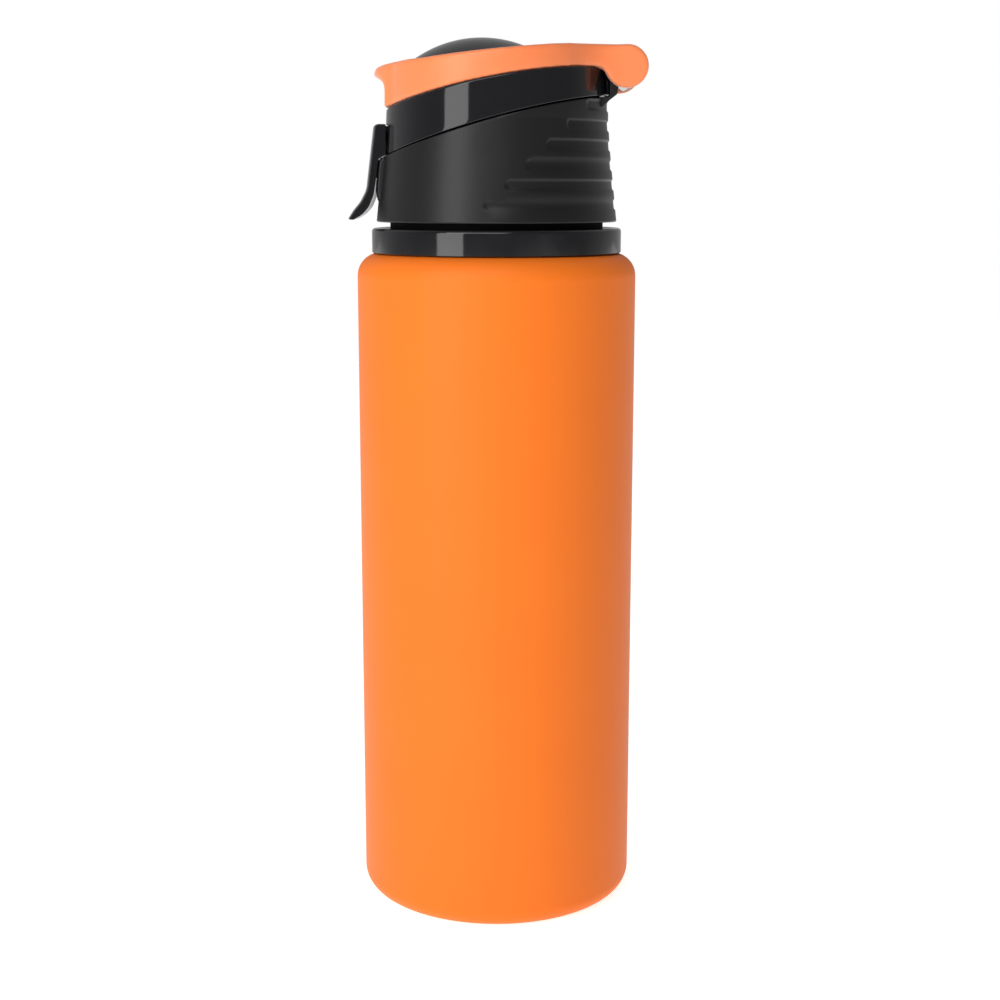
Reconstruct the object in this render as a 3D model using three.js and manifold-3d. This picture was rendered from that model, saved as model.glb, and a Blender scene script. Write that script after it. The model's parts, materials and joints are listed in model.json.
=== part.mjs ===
// Metal sports bottle with a screw cap, a flip-up lid over a drinking spout, a front latch lever
// and a carry handle that folds up from the lid's hinge. Millimetres, +Z up, the bottle stands on
// Z = 0 with its axis on Z. The latch is at the front (-X) and the hinge at the back (+X).
import * as THREE from 'three';
import { mergeVertices } from 'three/addons/utils/BufferGeometryUtils.js';
import Module from 'manifold-3d';

const wasm = await Module();
wasm.setup();

// ---- Driving dimensions ----------------------------------------------------------------------

// Fits
const fitGap = 0.3;              // between pieces that touch or nest
const bigRound = 48;             // facets round the bottle and cap
const smallRound = 20;           // facets round pins, bushes, valve and spout
const curveSteps = 6;            // facets along one curve of an outline

// Bottle body
const bodyRadius = 36.5;
const bodyHeight = 173.5;        // to the flat top of the shoulder
const bodyWall = 1.0;
const shoulderRadius = 6.0;
const footCornerRadius = 5.0;
const footWidth = 4.0;           // flat ring that the bottle stands on
const baseRecess = 2.5;          // how far the base domes up inside that ring
const neckHeight = 18.5;         // neck above the shoulder
const shoulderLand = 1.0;        // least flat between the shoulder's rounding and the neck

// Neck collar
const collarOverhang = 1.25;     // collar beyond the cap's lower edge
const collarHeight = 6.4;
const collarEdge = 0.9;          // rounding of its top edge
const collarDish = 1.0;          // depth of its dished top face
const collarLand = 0.5;          // flat between rounded edge and dish
const sleeveWall = 1.2;          // threaded sleeve round the neck
const stopBandWall = 1.35;       // plain band under the thread, beyond the sleeve
const stopBandRise = 1.6;        // band above the collar's top
const sleeveDrop = 0.5;          // sleeve's top below the neck's

// Screw thread
const threadPitch = 4.0;
const threadDepth = 0.8;
const threadTurns = 1.5;
const threadRootWidth = 1.9;
const threadCrestWidth = 1.0;
const threadSteps = 30;          // facets in one turn
const threadStart = 4.6;         // first turn above the collar's top
const threadSink = 0.15;         // how deep the ridge is rooted in its wall

// Cap
const bandRadius = 28.9;         // lid and cap where they meet
const capFlare = 2.45;           // cap's lower edge beyond that
const capWaistFlare = 0.7;       // the same at the height where the flare eases
const capWaistHeight = 16.8;
const capStraightHeight = 25.5;  // above this the cap's wall is upright
const capEdge = 0.35;            // chamfer of the lower edge
const capWall = 1.2;
const capClearance = 1.6;        // open gap between collar and cap
const coreWall = 1.2;
const coreDeck = 1.7;
const coreGap = 0.5;             // core's lower edge above the stop band
const gasketThickness = 1.7;
const gasketOverlap = 2.5;       // gasket inside the neck's outer radius
const gasketOverhang = 1.0;      // gasket beyond it
const housingDeck = 1.4;         // sloped deck inside the cap's rim
const housingDeckRise = 10.7;    // from front to back

// Sloped parting line between cap and lid: height = mid + slope x - sag x^2
const splitFront = 17.1623;      // above the cap's lower edge, at the front
const splitSlope = 0.263;
const splitSag = 0.00196;
const splitGap = 0.8;

// Lid
const lidHeight = 9.22;          // from the parting line to the handle's seat, on the axis
const seatSlope = 0.1772;
const seatSag = 0.00225;
const lidTaper = 0.7;            // lid's top edge inside the parting line
const lidWall = 1.6;
const domeX = -3.8;
const domeSphere = 30.7;
const domeRise = 11.0;           // crown above the seat, on the bottle's axis
const handleRing = 7.6;          // width of the handle's ring at its widest
const domeGap = 0.8;             // between the dome and the handle's ring

// Grip grooves at the back of the cap
const grooveCount = 6;
const grooveHeight = 3.0;
const groovePitch = 4.95;
const grooveDepth = 0.4;
const grooveFirst = 2.9;         // first groove above the cap's lower edge
const grooveFront = -3.2;        // front end of the first groove
const grooveStep = 5.1;          // each groove starts this much further back

// Hinge
const hingeOffset = 3.8;         // hinge axis behind the lid's band
const hingeRise = 3.08;          // hinge axis above the seat's height on the axis
const knuckleRadius = 5.4;
const hingeHalfWidth = 15.0;     // to the handle's outer faces
const handleKnuckle = 4.0;
const lugWidth = 3.5;
const hingePinRadius = 1.5;
const bushWall = 0.8;
const socketFloor = 1.1;         // closed outer face of each handle knuckle

// Handle
const handleInset = 0.4;         // handle inside the band's radius
const handleThickness = 5.55;    // at the hinge
const handleFall = 4.0;          // top edge, from the hinge to the front
const noseReach = 2.8;           // thumb lip beyond the lid's band
const noseHalfWidth = 11.0;

// Latch
const latchHalfWidth = 7.5;
const latchPinRadius = 0.75;
const latchPinDrop = 13.3;       // pin below the seat's height on the axis
const latchPinOut = 1.3;         // pin beyond the band's radius
const latchLug = 2.5;            // half width of the lid's lug in the lever
const latchLugRadius = 1.35;
const latchPinHalf = 6.4;
const springWidth = 2.8;
const hookHalfWidth = 4.5;
const hookReach = 1.0;           // hook inside the cap's outer face
const hookHeight = 1.2;
const hookBelowSplit = 5.9623;   // hook's lower face below the front of the parting line
const hookRoom = 0.65;           // window above the hook's sloping face
const latchHead = 2.4;           // lever's top above its pin
const latchPocket = 1.65;        // pocket in the lid, inside the band's radius
const latchPocketDrop = 0.9;     // pocket's floor below the pin
const latchPad = 3.3;            // thickened lid wall behind the pocket
const pinSlack = 0.24;           // round the latch pin

// Spout and valve
const spoutX = -6.0;
const spoutRadius = 8.0;
const spoutTipRadius = 7.0;
const spoutBore = 4.5;
const spoutLength = 9.2;         // above its flange
const spoutFlange = 1.5;
const spoutFlangeRadius = 10.0;
const stemRadius = 7.0;
const stemLength = 9.0;
const turretWall = 4.0;
const turretHeight = 9.5;        // above the core's deck
const sealSection = 1.4;
const ventX = 15.0;
const ventHole = 1.5;
const ventHead = 3.5;
const linerThickness = 1.3;
const plugDisc = 1.6;
const plugNose = 1.5;
const linerHole = 2.3;
const plugButton = 1.0;          // button beyond the liner's hole

// ---- Heights and radii worked out from them --------------------------------------------------

const collarBottom = bodyHeight + fitGap;
const collarTop = bodyHeight + collarHeight;
const capBottom = collarTop + capClearance;
const neckTop = bodyHeight + neckHeight;
// The line is set by its front end, so the cap's deck stays above the core at any width.
const splitMid = capBottom + splitFront + splitSlope * bandRadius + splitSag * bandRadius ** 2;
const seatMid = splitMid + lidHeight;
const hingeX = bandRadius + hingeOffset;
const hingeZ = seatMid + hingeRise;
const sleeveTop = neckTop - sleeveDrop;
const bandFoot = collarTop + stopBandRise;
const coreBottom = bandFoot + coreGap;
const gasketBottom = neckTop + fitGap;
const gasketTop = gasketBottom + gasketThickness;
const coreDeckBottom = gasketTop + fitGap;
const coreDeckTop = coreDeckBottom + coreDeck;

// Outer radius of the cap at a height.
function capRadius(z) {
  const height = z - capBottom;
  const waist = bandRadius + capWaistFlare;
  if (height < capWaistHeight) {
    return THREE.MathUtils.lerp(bandRadius + capFlare, waist, height / capWaistHeight);
  }
  const upper = (height - capWaistHeight) / (capStraightHeight - capWaistHeight);
  return THREE.MathUtils.lerp(waist, bandRadius, Math.min(upper, 1));
}

const neckRadius = capRadius(neckTop) - capWall - coreWall - sleeveWall - threadDepth - 3 * fitGap;
const shoulderRound = Math.min(shoulderRadius, bodyRadius - neckRadius - shoulderLand);
const shoulderFlat = bodyRadius - shoulderRound;
const sleeveInner = neckRadius + fitGap;
const sleeveOuter = sleeveInner + sleeveWall;
const threadCrest = sleeveOuter + threadDepth;
const coreRoot = threadCrest + fitGap;
const collarRadius = bandRadius + capFlare + collarOverhang;
const gasketOuter = neckRadius + gasketOverhang;
const domePlan = bandRadius - handleRing - domeGap;
const openingRadius = bandRadius - handleRing;
const domeCentre = seatMid + domeRise - domeSphere;

const splitAt = (x) => splitMid + splitSlope * x - splitSag * x * x;
const seatAt = (x) => seatMid + seatSlope * x - seatSag * x * x;

// ---- Shape helpers ---------------------------------------------------------------------------

// A closed three.js geometry as a manifold solid, turned outwards if it came inside out.
function solid(geometry) {
  const bare = geometry.clone();
  bare.deleteAttribute('normal');
  bare.deleteAttribute('uv');
  const merged = mergeVertices(bare);
  const triVerts = new Uint32Array(merged.index.array);
  const vertProperties = new Float32Array(merged.attributes.position.array);
  let made = new wasm.Manifold(new wasm.Mesh({ numProp: 3, vertProperties, triVerts }));
  if (made.volume() < 0) {
    for (let i = 0; i < triVerts.length; i += 3) {
      [triVerts[i], triVerts[i + 1]] = [triVerts[i + 1], triVerts[i]];
    }
    made = new wasm.Manifold(new wasm.Mesh({ numProp: 3, vertProperties, triVerts }));
  }
  return made;
}

// A solid of revolution about an upright axis; profile points are [radius, height].
function turned(points, x = 0, round = bigRound) {
  const profile = points.map(([radius, height]) => new THREE.Vector2(radius, height));
  const geometry = new THREE.LatheGeometry(profile, round);
  geometry.rotateX(Math.PI / 2);
  geometry.translate(x, 0, 0);
  return solid(geometry);
}

// The same for a profile that never meets the axis: its last point is its first again.
const ring = (points, x = 0, round = bigRound) => turned([...points, points[0]], x, round);

// An upright disc or post between two heights.
const post = (radius, low, high, x = 0, round = smallRound) =>
  turned([[0, low], [radius, low], [radius, high], [0, high]], x, round);

// A side outline in X and Z, extruded along Y between two places.
function across(shape, from, to) {
  const geometry = new THREE.ExtrudeGeometry(shape, {
    depth: to - from,
    bevelEnabled: false,
    curveSegments: curveSteps,
  });
  geometry.rotateX(Math.PI / 2);
  geometry.translate(0, to, 0);
  return solid(geometry);
}

// A plan outline in X and Y, extruded up between two heights.
function upright(shape, low, high) {
  const geometry = new THREE.ExtrudeGeometry(shape, {
    depth: high - low,
    bevelEnabled: false,
    curveSegments: 3 * curveSteps,
  });
  geometry.translate(0, 0, low);
  return solid(geometry);
}

// A rod along Y.
function rod(radius, from, to, x, z, round = smallRound) {
  const geometry = new THREE.CylinderGeometry(radius, radius, to - from, round);
  geometry.translate(x, (from + to) / 2, z);
  return solid(geometry);
}

// A block between two corners.
function block(low, high) {
  const size = low.map((value, axis) => high[axis] - value);
  const geometry = new THREE.BoxGeometry(...size);
  geometry.translate(...low.map((value, axis) => value + size[axis] / 2));
  return solid(geometry);
}

// Points along an arc, angles in degrees.
function arc(x, z, radius, from, to, steps = curveSteps) {
  const points = [];
  for (let step = 0; step <= steps; step += 1) {
    const angle = THREE.MathUtils.degToRad(from + (to - from) * step / steps);
    points.push([x + radius * Math.cos(angle), z + radius * Math.sin(angle)]);
  }
  return points;
}

// A point on a circle round the axis, seen from above.
function pointOn(radius, degrees) {
  const angle = THREE.MathUtils.degToRad(degrees);
  return [radius * Math.cos(angle), radius * Math.sin(angle)];
}

// A closed outline through listed points.
const outline = (points) => new THREE.Shape(points.map(([x, z]) => new THREE.Vector2(x, z)));

// Points along a height curve between two places in X.
function along(curve, from, to, steps = 2 * curveSteps) {
  const points = [];
  for (let step = 0; step <= steps; step += 1) {
    const x = from + (to - from) * step / steps;
    points.push([x, curve(x)]);
  }
  return points;
}

// A helical ridge on a wall: a straight bar of the thread's section, bent into a helix.
// It stands outwards for depth > 0 and inwards for depth < 0.
function helicalRidge(wallRadius, depth, start, phase) {
  const sink = Math.sign(depth) * threadSink;
  const section = outline([
    [-sink, -threadRootWidth / 2],
    [depth, -threadCrestWidth / 2],
    [depth, threadCrestWidth / 2],
    [-sink, threadRootWidth / 2],
  ]);
  const bar = new THREE.ExtrudeGeometry(section, {
    depth: threadTurns,
    steps: threadTurns * threadSteps,
    bevelEnabled: false,
  });
  const place = bar.attributes.position;
  for (let i = 0; i < place.count; i += 1) {
    const turn = place.getZ(i);
    const radius = wallRadius + place.getX(i);
    const angle = phase + 2 * Math.PI * turn;
    const height = start + place.getY(i) + threadPitch * turn;
    place.setXYZ(i, radius * Math.cos(angle), radius * Math.sin(angle), height);
  }
  return solid(bar);
}

// ---- Finishes --------------------------------------------------------------------------------

const finish = (color, roughness, metalness = 0) =>
  new THREE.MeshStandardMaterial({ color, roughness, metalness });
const finishes = {
  orangeCoat: finish(0xf27a2a, 0.6),
  orangeGrip: finish(0xf7955f, 0.55),
  glossBlack: finish(0x17171a, 0.12),
  satinBlack: finish(0x1d1d1f, 0.45),
  clearSilicone: finish(0xd9dcdd, 0.4),
  greyPlastic: finish(0x8f9396, 0.4),
  steel: finish(0xb9bcc0, 0.3, 1),
};

const bottle = new THREE.Group();

// Adds a finished solid as a named mesh.
function addPart(name, made, material) {
  const mesh = made.getMesh();
  const geometry = new THREE.BufferGeometry();
  geometry.setAttribute('position', new THREE.BufferAttribute(mesh.vertProperties, 3));
  geometry.setIndex(new THREE.BufferAttribute(mesh.triVerts, 1));
  geometry.computeVertexNormals();
  const part = new THREE.Mesh(geometry, material);
  part.name = name;
  bottle.add(part);
}

// ---- Bottle body -----------------------------------------------------------------------------

function bottleShell() {
  const shoulderZ = bodyHeight - shoulderRound;
  const footOuter = bodyRadius - footCornerRadius;
  const footInner = footOuter - footWidth;
  const dome = (wall) => [
    [footInner, wall],
    [footInner * 0.7, baseRecess * 0.6 + wall],
    [0, baseRecess + wall],
  ];
  return turned([
    ...dome(0).reverse(),
    ...arc(footOuter, footCornerRadius, footCornerRadius, -90, 0, 4),
    ...arc(shoulderFlat, shoulderZ, shoulderRound, 0, 90, 5),
    [neckRadius, bodyHeight],
    [neckRadius, neckTop],
    [neckRadius - bodyWall, neckTop],
    [neckRadius - bodyWall, bodyHeight - bodyWall],
    ...arc(shoulderFlat, shoulderZ, shoulderRound - bodyWall, 90, 0, 3),
    ...arc(footOuter, footCornerRadius, footCornerRadius - bodyWall, 0, -90, 3),
    ...dome(bodyWall),
  ]);
}
addPart('bottle_shell', bottleShell(), finishes.orangeCoat);

// ---- Neck collar with the outside thread -----------------------------------------------------

function neckCollar() {
  const lip = Math.max(collarRadius - shoulderFlat, 0);
  const lipArc = shoulderRound + fitGap;
  const lipDrop = lipArc - Math.sqrt(lipArc ** 2 - Math.min(lip, lipArc * 0.8) ** 2);
  const edgeX = collarRadius - collarEdge;
  const bandRound = sleeveOuter + stopBandWall;
  const body = ring([
    [sleeveInner, collarBottom],
    [Math.min(shoulderFlat, collarRadius - 1), collarBottom],
    [collarRadius - lip / 2, collarBottom - lipDrop * 0.25],
    [collarRadius, collarBottom - lipDrop],
    ...arc(edgeX, collarTop - collarEdge, collarEdge, 0, 90, 4),
    [edgeX - collarLand, collarTop],
    [bandRound + collarDish, collarTop - collarDish],
    [bandRound, collarTop - collarDish],
    [bandRound, bandFoot],
    [sleeveOuter, bandFoot],
    [sleeveOuter, sleeveTop],
    [sleeveInner, sleeveTop],
  ]);
  return body.add(helicalRidge(sleeveOuter, threadDepth, collarTop + threadStart, 0));
}
addPart('neck_collar', neckCollar(), finishes.glossBlack);

// ---- Gasket on the bottle's lip --------------------------------------------------------------

addPart('cap_gasket', ring([
  [neckRadius - gasketOverlap, gasketBottom],
  [gasketOuter, gasketBottom],
  [gasketOuter, gasketTop],
  [neckRadius - gasketOverlap, gasketTop],
]), finishes.clearSilicone);

// ---- Cap core: inside thread, deck and the turret that holds the spout -----------------------

const turretRadius = stemRadius + sealSection / 2 + turretWall;
const turretTop = coreDeckTop + turretHeight;
const turretBore = stemRadius + sealSection / 2;
const coreOuter = (z) => capRadius(z) - capWall - fitGap;

function capCore() {
  const waist = capBottom + capWaistHeight;
  const gasketSeat = gasketOuter + fitGap;
  const cup = turned([
    [0, coreDeckBottom],
    [gasketSeat, coreDeckBottom],
    [gasketSeat, neckTop + fitGap / 2],
    [coreRoot, neckTop - fitGap],
    [coreRoot, coreBottom],
    [coreOuter(coreBottom), coreBottom],
    [coreOuter(Math.min(waist, coreDeckTop)), Math.min(waist, coreDeckTop) - 0.1],
    [coreOuter(coreDeckTop), coreDeckTop],
    [0, coreDeckTop],
  ]);
  const halfPitch = threadPitch / 2;
  return cup
    .add(helicalRidge(coreRoot, -threadDepth, collarTop + threadStart + halfPitch, 0))
    .add(post(turretRadius, coreDeckTop - coreDeck / 2, turretTop, spoutX, bigRound))
    .subtract(post(turretBore, coreDeckBottom - 1, turretTop + 1, spoutX))
    .subtract(post(ventHole, coreDeckBottom - 1, coreDeckTop + 1, ventX));
}
addPart('cap_core', capCore(), finishes.greyPlastic);

// ---- Spout, its seal ring and the air valve --------------------------------------------------

const flangeBottom = turretTop + fitGap;
const flangeTop = flangeBottom + spoutFlange;
const spoutTop = flangeTop + spoutLength;
const sealZ = turretTop - stemLength / 2;
const sealInner = turretBore - fitGap - sealSection;

function spout() {
  const groove = sealSection / 2 + fitGap;
  return ring([
    [spoutBore, flangeBottom - stemLength],
    [stemRadius, flangeBottom - stemLength],
    [stemRadius, sealZ - groove],
    [sealInner - fitGap, sealZ - groove],
    [sealInner - fitGap, sealZ + groove],
    [stemRadius, sealZ + groove],
    [stemRadius, flangeBottom],
    [spoutFlangeRadius, flangeBottom],
    [spoutFlangeRadius, flangeTop],
    [spoutRadius, flangeTop + 0.4],
    [spoutTipRadius, spoutTop - 2.2],
    [spoutTipRadius + 0.3, spoutTop - 1.2],
    [spoutTipRadius, spoutTop - 0.3],
    [spoutTipRadius - 0.6, spoutTop],
    [spoutBore, spoutTop],
  ], spoutX, smallRound);
}
addPart('spout', spout(), finishes.clearSilicone);

addPart('spout_seal_ring', ring(
  arc(sealInner + sealSection / 2, sealZ, sealSection / 2, 0, 315, 7),
  spoutX,
  smallRound,
), finishes.satinBlack);

addPart('vent_valve', turned([
  [0, coreDeckBottom - fitGap - 1.1],
  [ventHead, coreDeckBottom - fitGap - 0.4],
  [ventHead, coreDeckBottom - fitGap],
  [ventHole - fitGap, coreDeckBottom - fitGap],
  [ventHole - fitGap, coreDeckTop + fitGap],
  [ventHole + 0.4, coreDeckTop + fitGap],
  [ventHole - 0.4, coreDeckTop + 1.8],
  [0, coreDeckTop + 1.8],
], ventX, 16), finishes.clearSilicone);

// ---- Cap housing: the satin skirt with grip grooves, sloped deck, hinge lugs -----------------

const handleInner = hingeHalfWidth - handleKnuckle;
const lugOuter = handleInner - fitGap;
const lugInner = lugOuter - lugWidth;
const lidKnuckle = lugInner - fitGap;
const pinBore = hingePinRadius + fitGap;
const hookTip = capRadius(capBottom + splitFront - hookBelowSplit + 1.5 * hookHeight) - hookReach;
const hookLow = capBottom + splitFront - hookBelowSplit;
const hookHigh = hookLow + hookHeight;
// The hook's upper face lies along the arc that the lid takes it on as it opens.
const hookRise = (hookTip + hingeX) / (hingeZ - hookHigh);
const hookFace = (x) => hookHigh + (-hookTip - x) * hookRise;

// Web from the cap's rear wall up to the knuckle, with the knuckle's lower front corner left off.
function hingeLug(from, to) {
  const web = outline([
    [bandRadius - 2.6, hingeZ - 10.3],
    [bandRadius - 1.3, hingeZ - 9.3],
    [bandRadius - 0.4, hingeZ - 8.3],
    [bandRadius + 1.7, hingeZ - 6.7],
    [bandRadius + 2.0, hingeZ - 6.2],
    [bandRadius + 2.0, hingeZ - 4.2],
    [hingeX, hingeZ],
    [hingeX - knuckleRadius + 1.2, hingeZ],
    [bandRadius - 0.3, hingeZ - 2.6],
    [bandRadius - 0.3, hingeZ - 7.4],
    [bandRadius - 2.6, hingeZ - 7.8],
  ]);
  return across(web, from, to).add(knuckle(from, to));
}

// A black hinge knuckle: a round with a chord cut off at the lower front.
function knuckle(from, to) {
  const cut = outline([
    [hingeX - 6.5, hingeZ - 1.9],
    [hingeX + 2.5, hingeZ - 6.3],
    [hingeX + 2.5, hingeZ - 9],
    [hingeX - 6.5, hingeZ - 9],
  ]);
  return rod(knuckleRadius, from, to, hingeX, hingeZ).subtract(across(cut, from - 1, to + 1));
}

function capHousing() {
  const waist = capBottom + capWaistHeight;
  const straight = capBottom + capStraightHeight;
  const rim = splitAt(bandRadius) + 4;
  const skirtWall = (inset, foot) => [
    [capRadius(capBottom) - inset - foot, capBottom],
    [capRadius(capBottom + foot) - inset, capBottom + foot],
    [capRadius(waist) - inset, waist],
    [capRadius(straight) - inset, straight],
    [capRadius(rim) - inset, rim],
  ];
  const skirt = ring([...skirtWall(0, capEdge), ...skirtWall(capWall, 0).reverse()]);
  const filled = turned([[0, capBottom], ...skirtWall(capWall / 2, 0), [0, rim]]);
  const deckFront = splitAt(-bandRadius) - splitGap;
  const deckAt = (x) => deckFront + housingDeckRise * (x + bandRadius) / (2 * bandRadius);
  const reach = bandRadius + 6;
  const deck = across(outline([
    [-reach, deckAt(-reach)],
    [-reach, deckAt(-reach) - housingDeck],
    [reach, deckAt(reach) - housingDeck],
    [reach, deckAt(reach)],
  ]), -reach, reach).intersect(filled);
  const rimCut = across(outline([
    ...along((x) => splitAt(x) - splitGap, -reach, reach),
    [reach, rim + 5],
    [-reach, rim + 5],
  ]), -reach, reach);
  let made = skirt
    .add(deck)
    .subtract(rimCut)
    .subtract(post(turretRadius + fitGap, capBottom, rim, spoutX, bigRound))
    .subtract(post(ventHole, coreDeckTop, rim, ventX));
  for (let i = 0; i < grooveCount; i += 1) {
    const low = capBottom + grooveFirst + i * groovePitch;
    const high = low + grooveHeight;
    const front = grooveFront + i * grooveStep;
    const band = ring([
      [capRadius(low) - grooveDepth, low],
      [capRadius(low) + 2, low],
      [capRadius(high) + 2, high],
      [capRadius(high) - grooveDepth, high],
    ]);
    const back = block([front, -reach, low - 1], [reach, reach, high + 1]);
    made = made.subtract(band.intersect(back));
  }
  const windowTop = (x) => hookFace(x) + hookRoom;
  const catchWindow = across(outline([
    [-bandRadius - 3, hookLow - 0.6],
    [-bandRadius + 2, hookLow - 0.6],
    [-bandRadius + 2, hookLow],
    [-hookTip + 0.35, windowTop(-hookTip + 0.35)],
    [-bandRadius - 3, windowTop(-bandRadius - 3)],
  ]), -hookHalfWidth - fitGap, hookHalfWidth + fitGap);
  made = made.subtract(catchWindow);
  for (const [from, to] of [[lugInner, lugOuter], [-lugOuter, -lugInner]]) {
    made = made.add(hingeLug(from, to));
  }
  return made.subtract(rod(pinBore, -lugOuter - 1, lugOuter + 1, hingeX, hingeZ));
}
addPart('cap_housing', capHousing(), finishes.satinBlack);

// ---- Hinge pin and the bushes in the handle's knuckles ---------------------------------------

const pinHalf = hingeHalfWidth - socketFloor - fitGap;
addPart('hinge_pin', rod(hingePinRadius, -pinHalf, pinHalf, hingeX, hingeZ), finishes.steel);

const bushOuter = pinBore + bushWall;
for (const [name, from, to] of [
  ['handle_bush_left', -pinHalf, -handleInner - fitGap],
  ['handle_bush_right', handleInner + fitGap, pinHalf],
]) {
  const sleeve = rod(bushOuter, from, to, hingeX, hingeZ)
    .subtract(rod(pinBore, from - 1, to + 1, hingeX, hingeZ));
  addPart(name, sleeve, finishes.greyPlastic);
}

// ---- Lid: band, deck and dome in one moulding ------------------------------------------------

const latchX = -bandRadius - latchPinOut;
const latchZ = seatMid - latchPinDrop;
const cornerStart = hingeX - 8.0; // where the handle's underside turns down to its knuckle
const cornerEnd = hingeX - 4.9;

// Underside of the handle at the back: a fillet into the round of its knuckle.
const filletPoint = (gap) => [
  [cornerStart, seatAt(cornerStart) - gap],
  [hingeX - 5.9 - gap * 0.4, hingeZ - 0.75 - gap],
  [cornerEnd - gap, hingeZ - 2.4 - gap * 0.5],
];

function lidShell() {
  const reach = bandRadius + 2;
  const foot = splitAt(-bandRadius) - 2;
  const topRadius = bandRadius - lidTaper;
  const roof = hingeZ + 2;
  const round = (inset) => turned([
    [0, foot],
    [bandRadius - inset, foot],
    [topRadius - inset, roof],
    [0, roof],
  ]);
  const sideView = outline([
    ...along(splitAt, -reach, reach),
    [reach, splitAt(reach) + 0.8],
    [cornerEnd - fitGap, hingeZ - 4.6],
    ...filletPoint(fitGap).reverse(),
    ...along((x) => seatAt(x) - fitGap, cornerStart - 0.5, -reach),
  ]);
  const hollowView = outline([
    ...along((x) => splitAt(x) - 3, -reach, reach),
    ...along((x) => seatAt(x) - fitGap - lidWall, cornerStart, -reach),
  ]);
  const domeLow = splitMid - 2;
  const crown = (inset) => {
    const plan = domePlan - inset;
    const radius = domeSphere - inset;
    const edge = THREE.MathUtils.radToDeg(Math.acos(plan / radius));
    return turned([
      [0, domeLow],
      [plan, domeLow],
      ...arc(0, domeCentre, radius, edge, 90, 7),
    ], domeX);
  };
  const pad = block(
    [-reach, -latchHalfWidth - 2, foot],
    [-bandRadius + latchPad, latchHalfWidth + 2, roof],
  );
  const hollow = round(lidWall).intersect(across(hollowView, -reach, reach))
    .subtract(pad)
    .add(crown(lidWall));
  const sweep = knuckleRadius + 0.6;
  const armTop = hingeZ - 0.6 - fitGap;
  const arm = across(outline([
    [bandRadius - 2.2, hingeZ - 5.9],
    [bandRadius + 0.6, hingeZ - 5.3],
    [hingeX - 1.5, hingeZ - 4.1],
    [hingeX, hingeZ],
    [hingeX - 2, armTop],
    [bandRadius - 2.2, armTop],
  ]), -lidKnuckle, lidKnuckle);
  const lug = across(outline(arc(latchX, latchZ, latchLugRadius, 90, 270, 10).concat([
    [-bandRadius + 1.5, latchZ - latchLugRadius],
    [-bandRadius + 1.5, latchZ + latchLugRadius],
  ])), -latchLug, latchLug);
  const pocket = block(
    [-reach - 3, -latchHalfWidth - fitGap, latchZ - latchPocketDrop],
    [-bandRadius + latchPocket, latchHalfWidth + fitGap, latchZ + latchHead],
  );
  const aboveDeck = across(outline([
    ...along((x) => seatAt(x) - fitGap - lidWall, -reach, reach),
    [reach, roof + domeRise],
    [-reach, roof + domeRise],
  ]), -reach, reach);
  const outer = round(0).intersect(across(sideView, -reach, reach)).add(
    crown(0).intersect(aboveDeck),
  );
  return outer
    .subtract(hollow)
    .subtract(pocket)
    .subtract(rod(sweep, -reach, -lidKnuckle - 0.05, hingeX, hingeZ))
    .subtract(rod(sweep, lidKnuckle + 0.05, reach, hingeX, hingeZ))
    .add(arm)
    .add(knuckle(-lidKnuckle, lidKnuckle))
    .add(lug)
    .subtract(rod(pinBore, -lidKnuckle - 1, lidKnuckle + 1, hingeX, hingeZ))
    .subtract(rod(latchPinRadius + pinSlack, -latchLug - 1, latchLug + 1, latchX, latchZ, 16));
}
addPart('lid_shell', lidShell(), finishes.glossBlack);

// ---- Liner and silicone plug inside the dome -------------------------------------------------

const plugBottom = spoutTop + fitGap;
const plugTop = plugBottom + plugDisc;
const linerBottom = plugTop + fitGap;
const linerTop = linerBottom + linerThickness;
const linerRadius = Math.sqrt((domeSphere - lidWall) ** 2 - (linerTop - domeCentre) ** 2) - fitGap;
const linerEdge = Math.min(linerRadius, domePlan - lidWall - fitGap);

addPart('lid_liner', turned([
  [0, linerBottom],
  [linerEdge, linerBottom],
  [linerEdge, linerTop],
  [0, linerTop],
], domeX).subtract(post(linerHole, linerBottom - 1, linerTop + 1, spoutX)), finishes.greyPlastic);

addPart('spout_plug', turned([
  [0, spoutTop - plugNose],
  [spoutBore - 1.2, spoutTop - plugNose],
  [spoutBore - 0.6, spoutTop],
  [spoutBore - 0.6, plugBottom],
  [spoutTipRadius + 1.2, plugBottom],
  [spoutTipRadius + 1.2, plugTop],
  [linerHole - fitGap, plugTop],
  [linerHole - fitGap, linerTop + fitGap],
  [linerHole + plugButton, linerTop + fitGap],
  [linerHole, linerTop + fitGap + 1.2],
  [0, linerTop + fitGap + 1.2],
], spoutX), finishes.clearSilicone);

// ---- Latch lever, its pin and its spring -----------------------------------------------------

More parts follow.
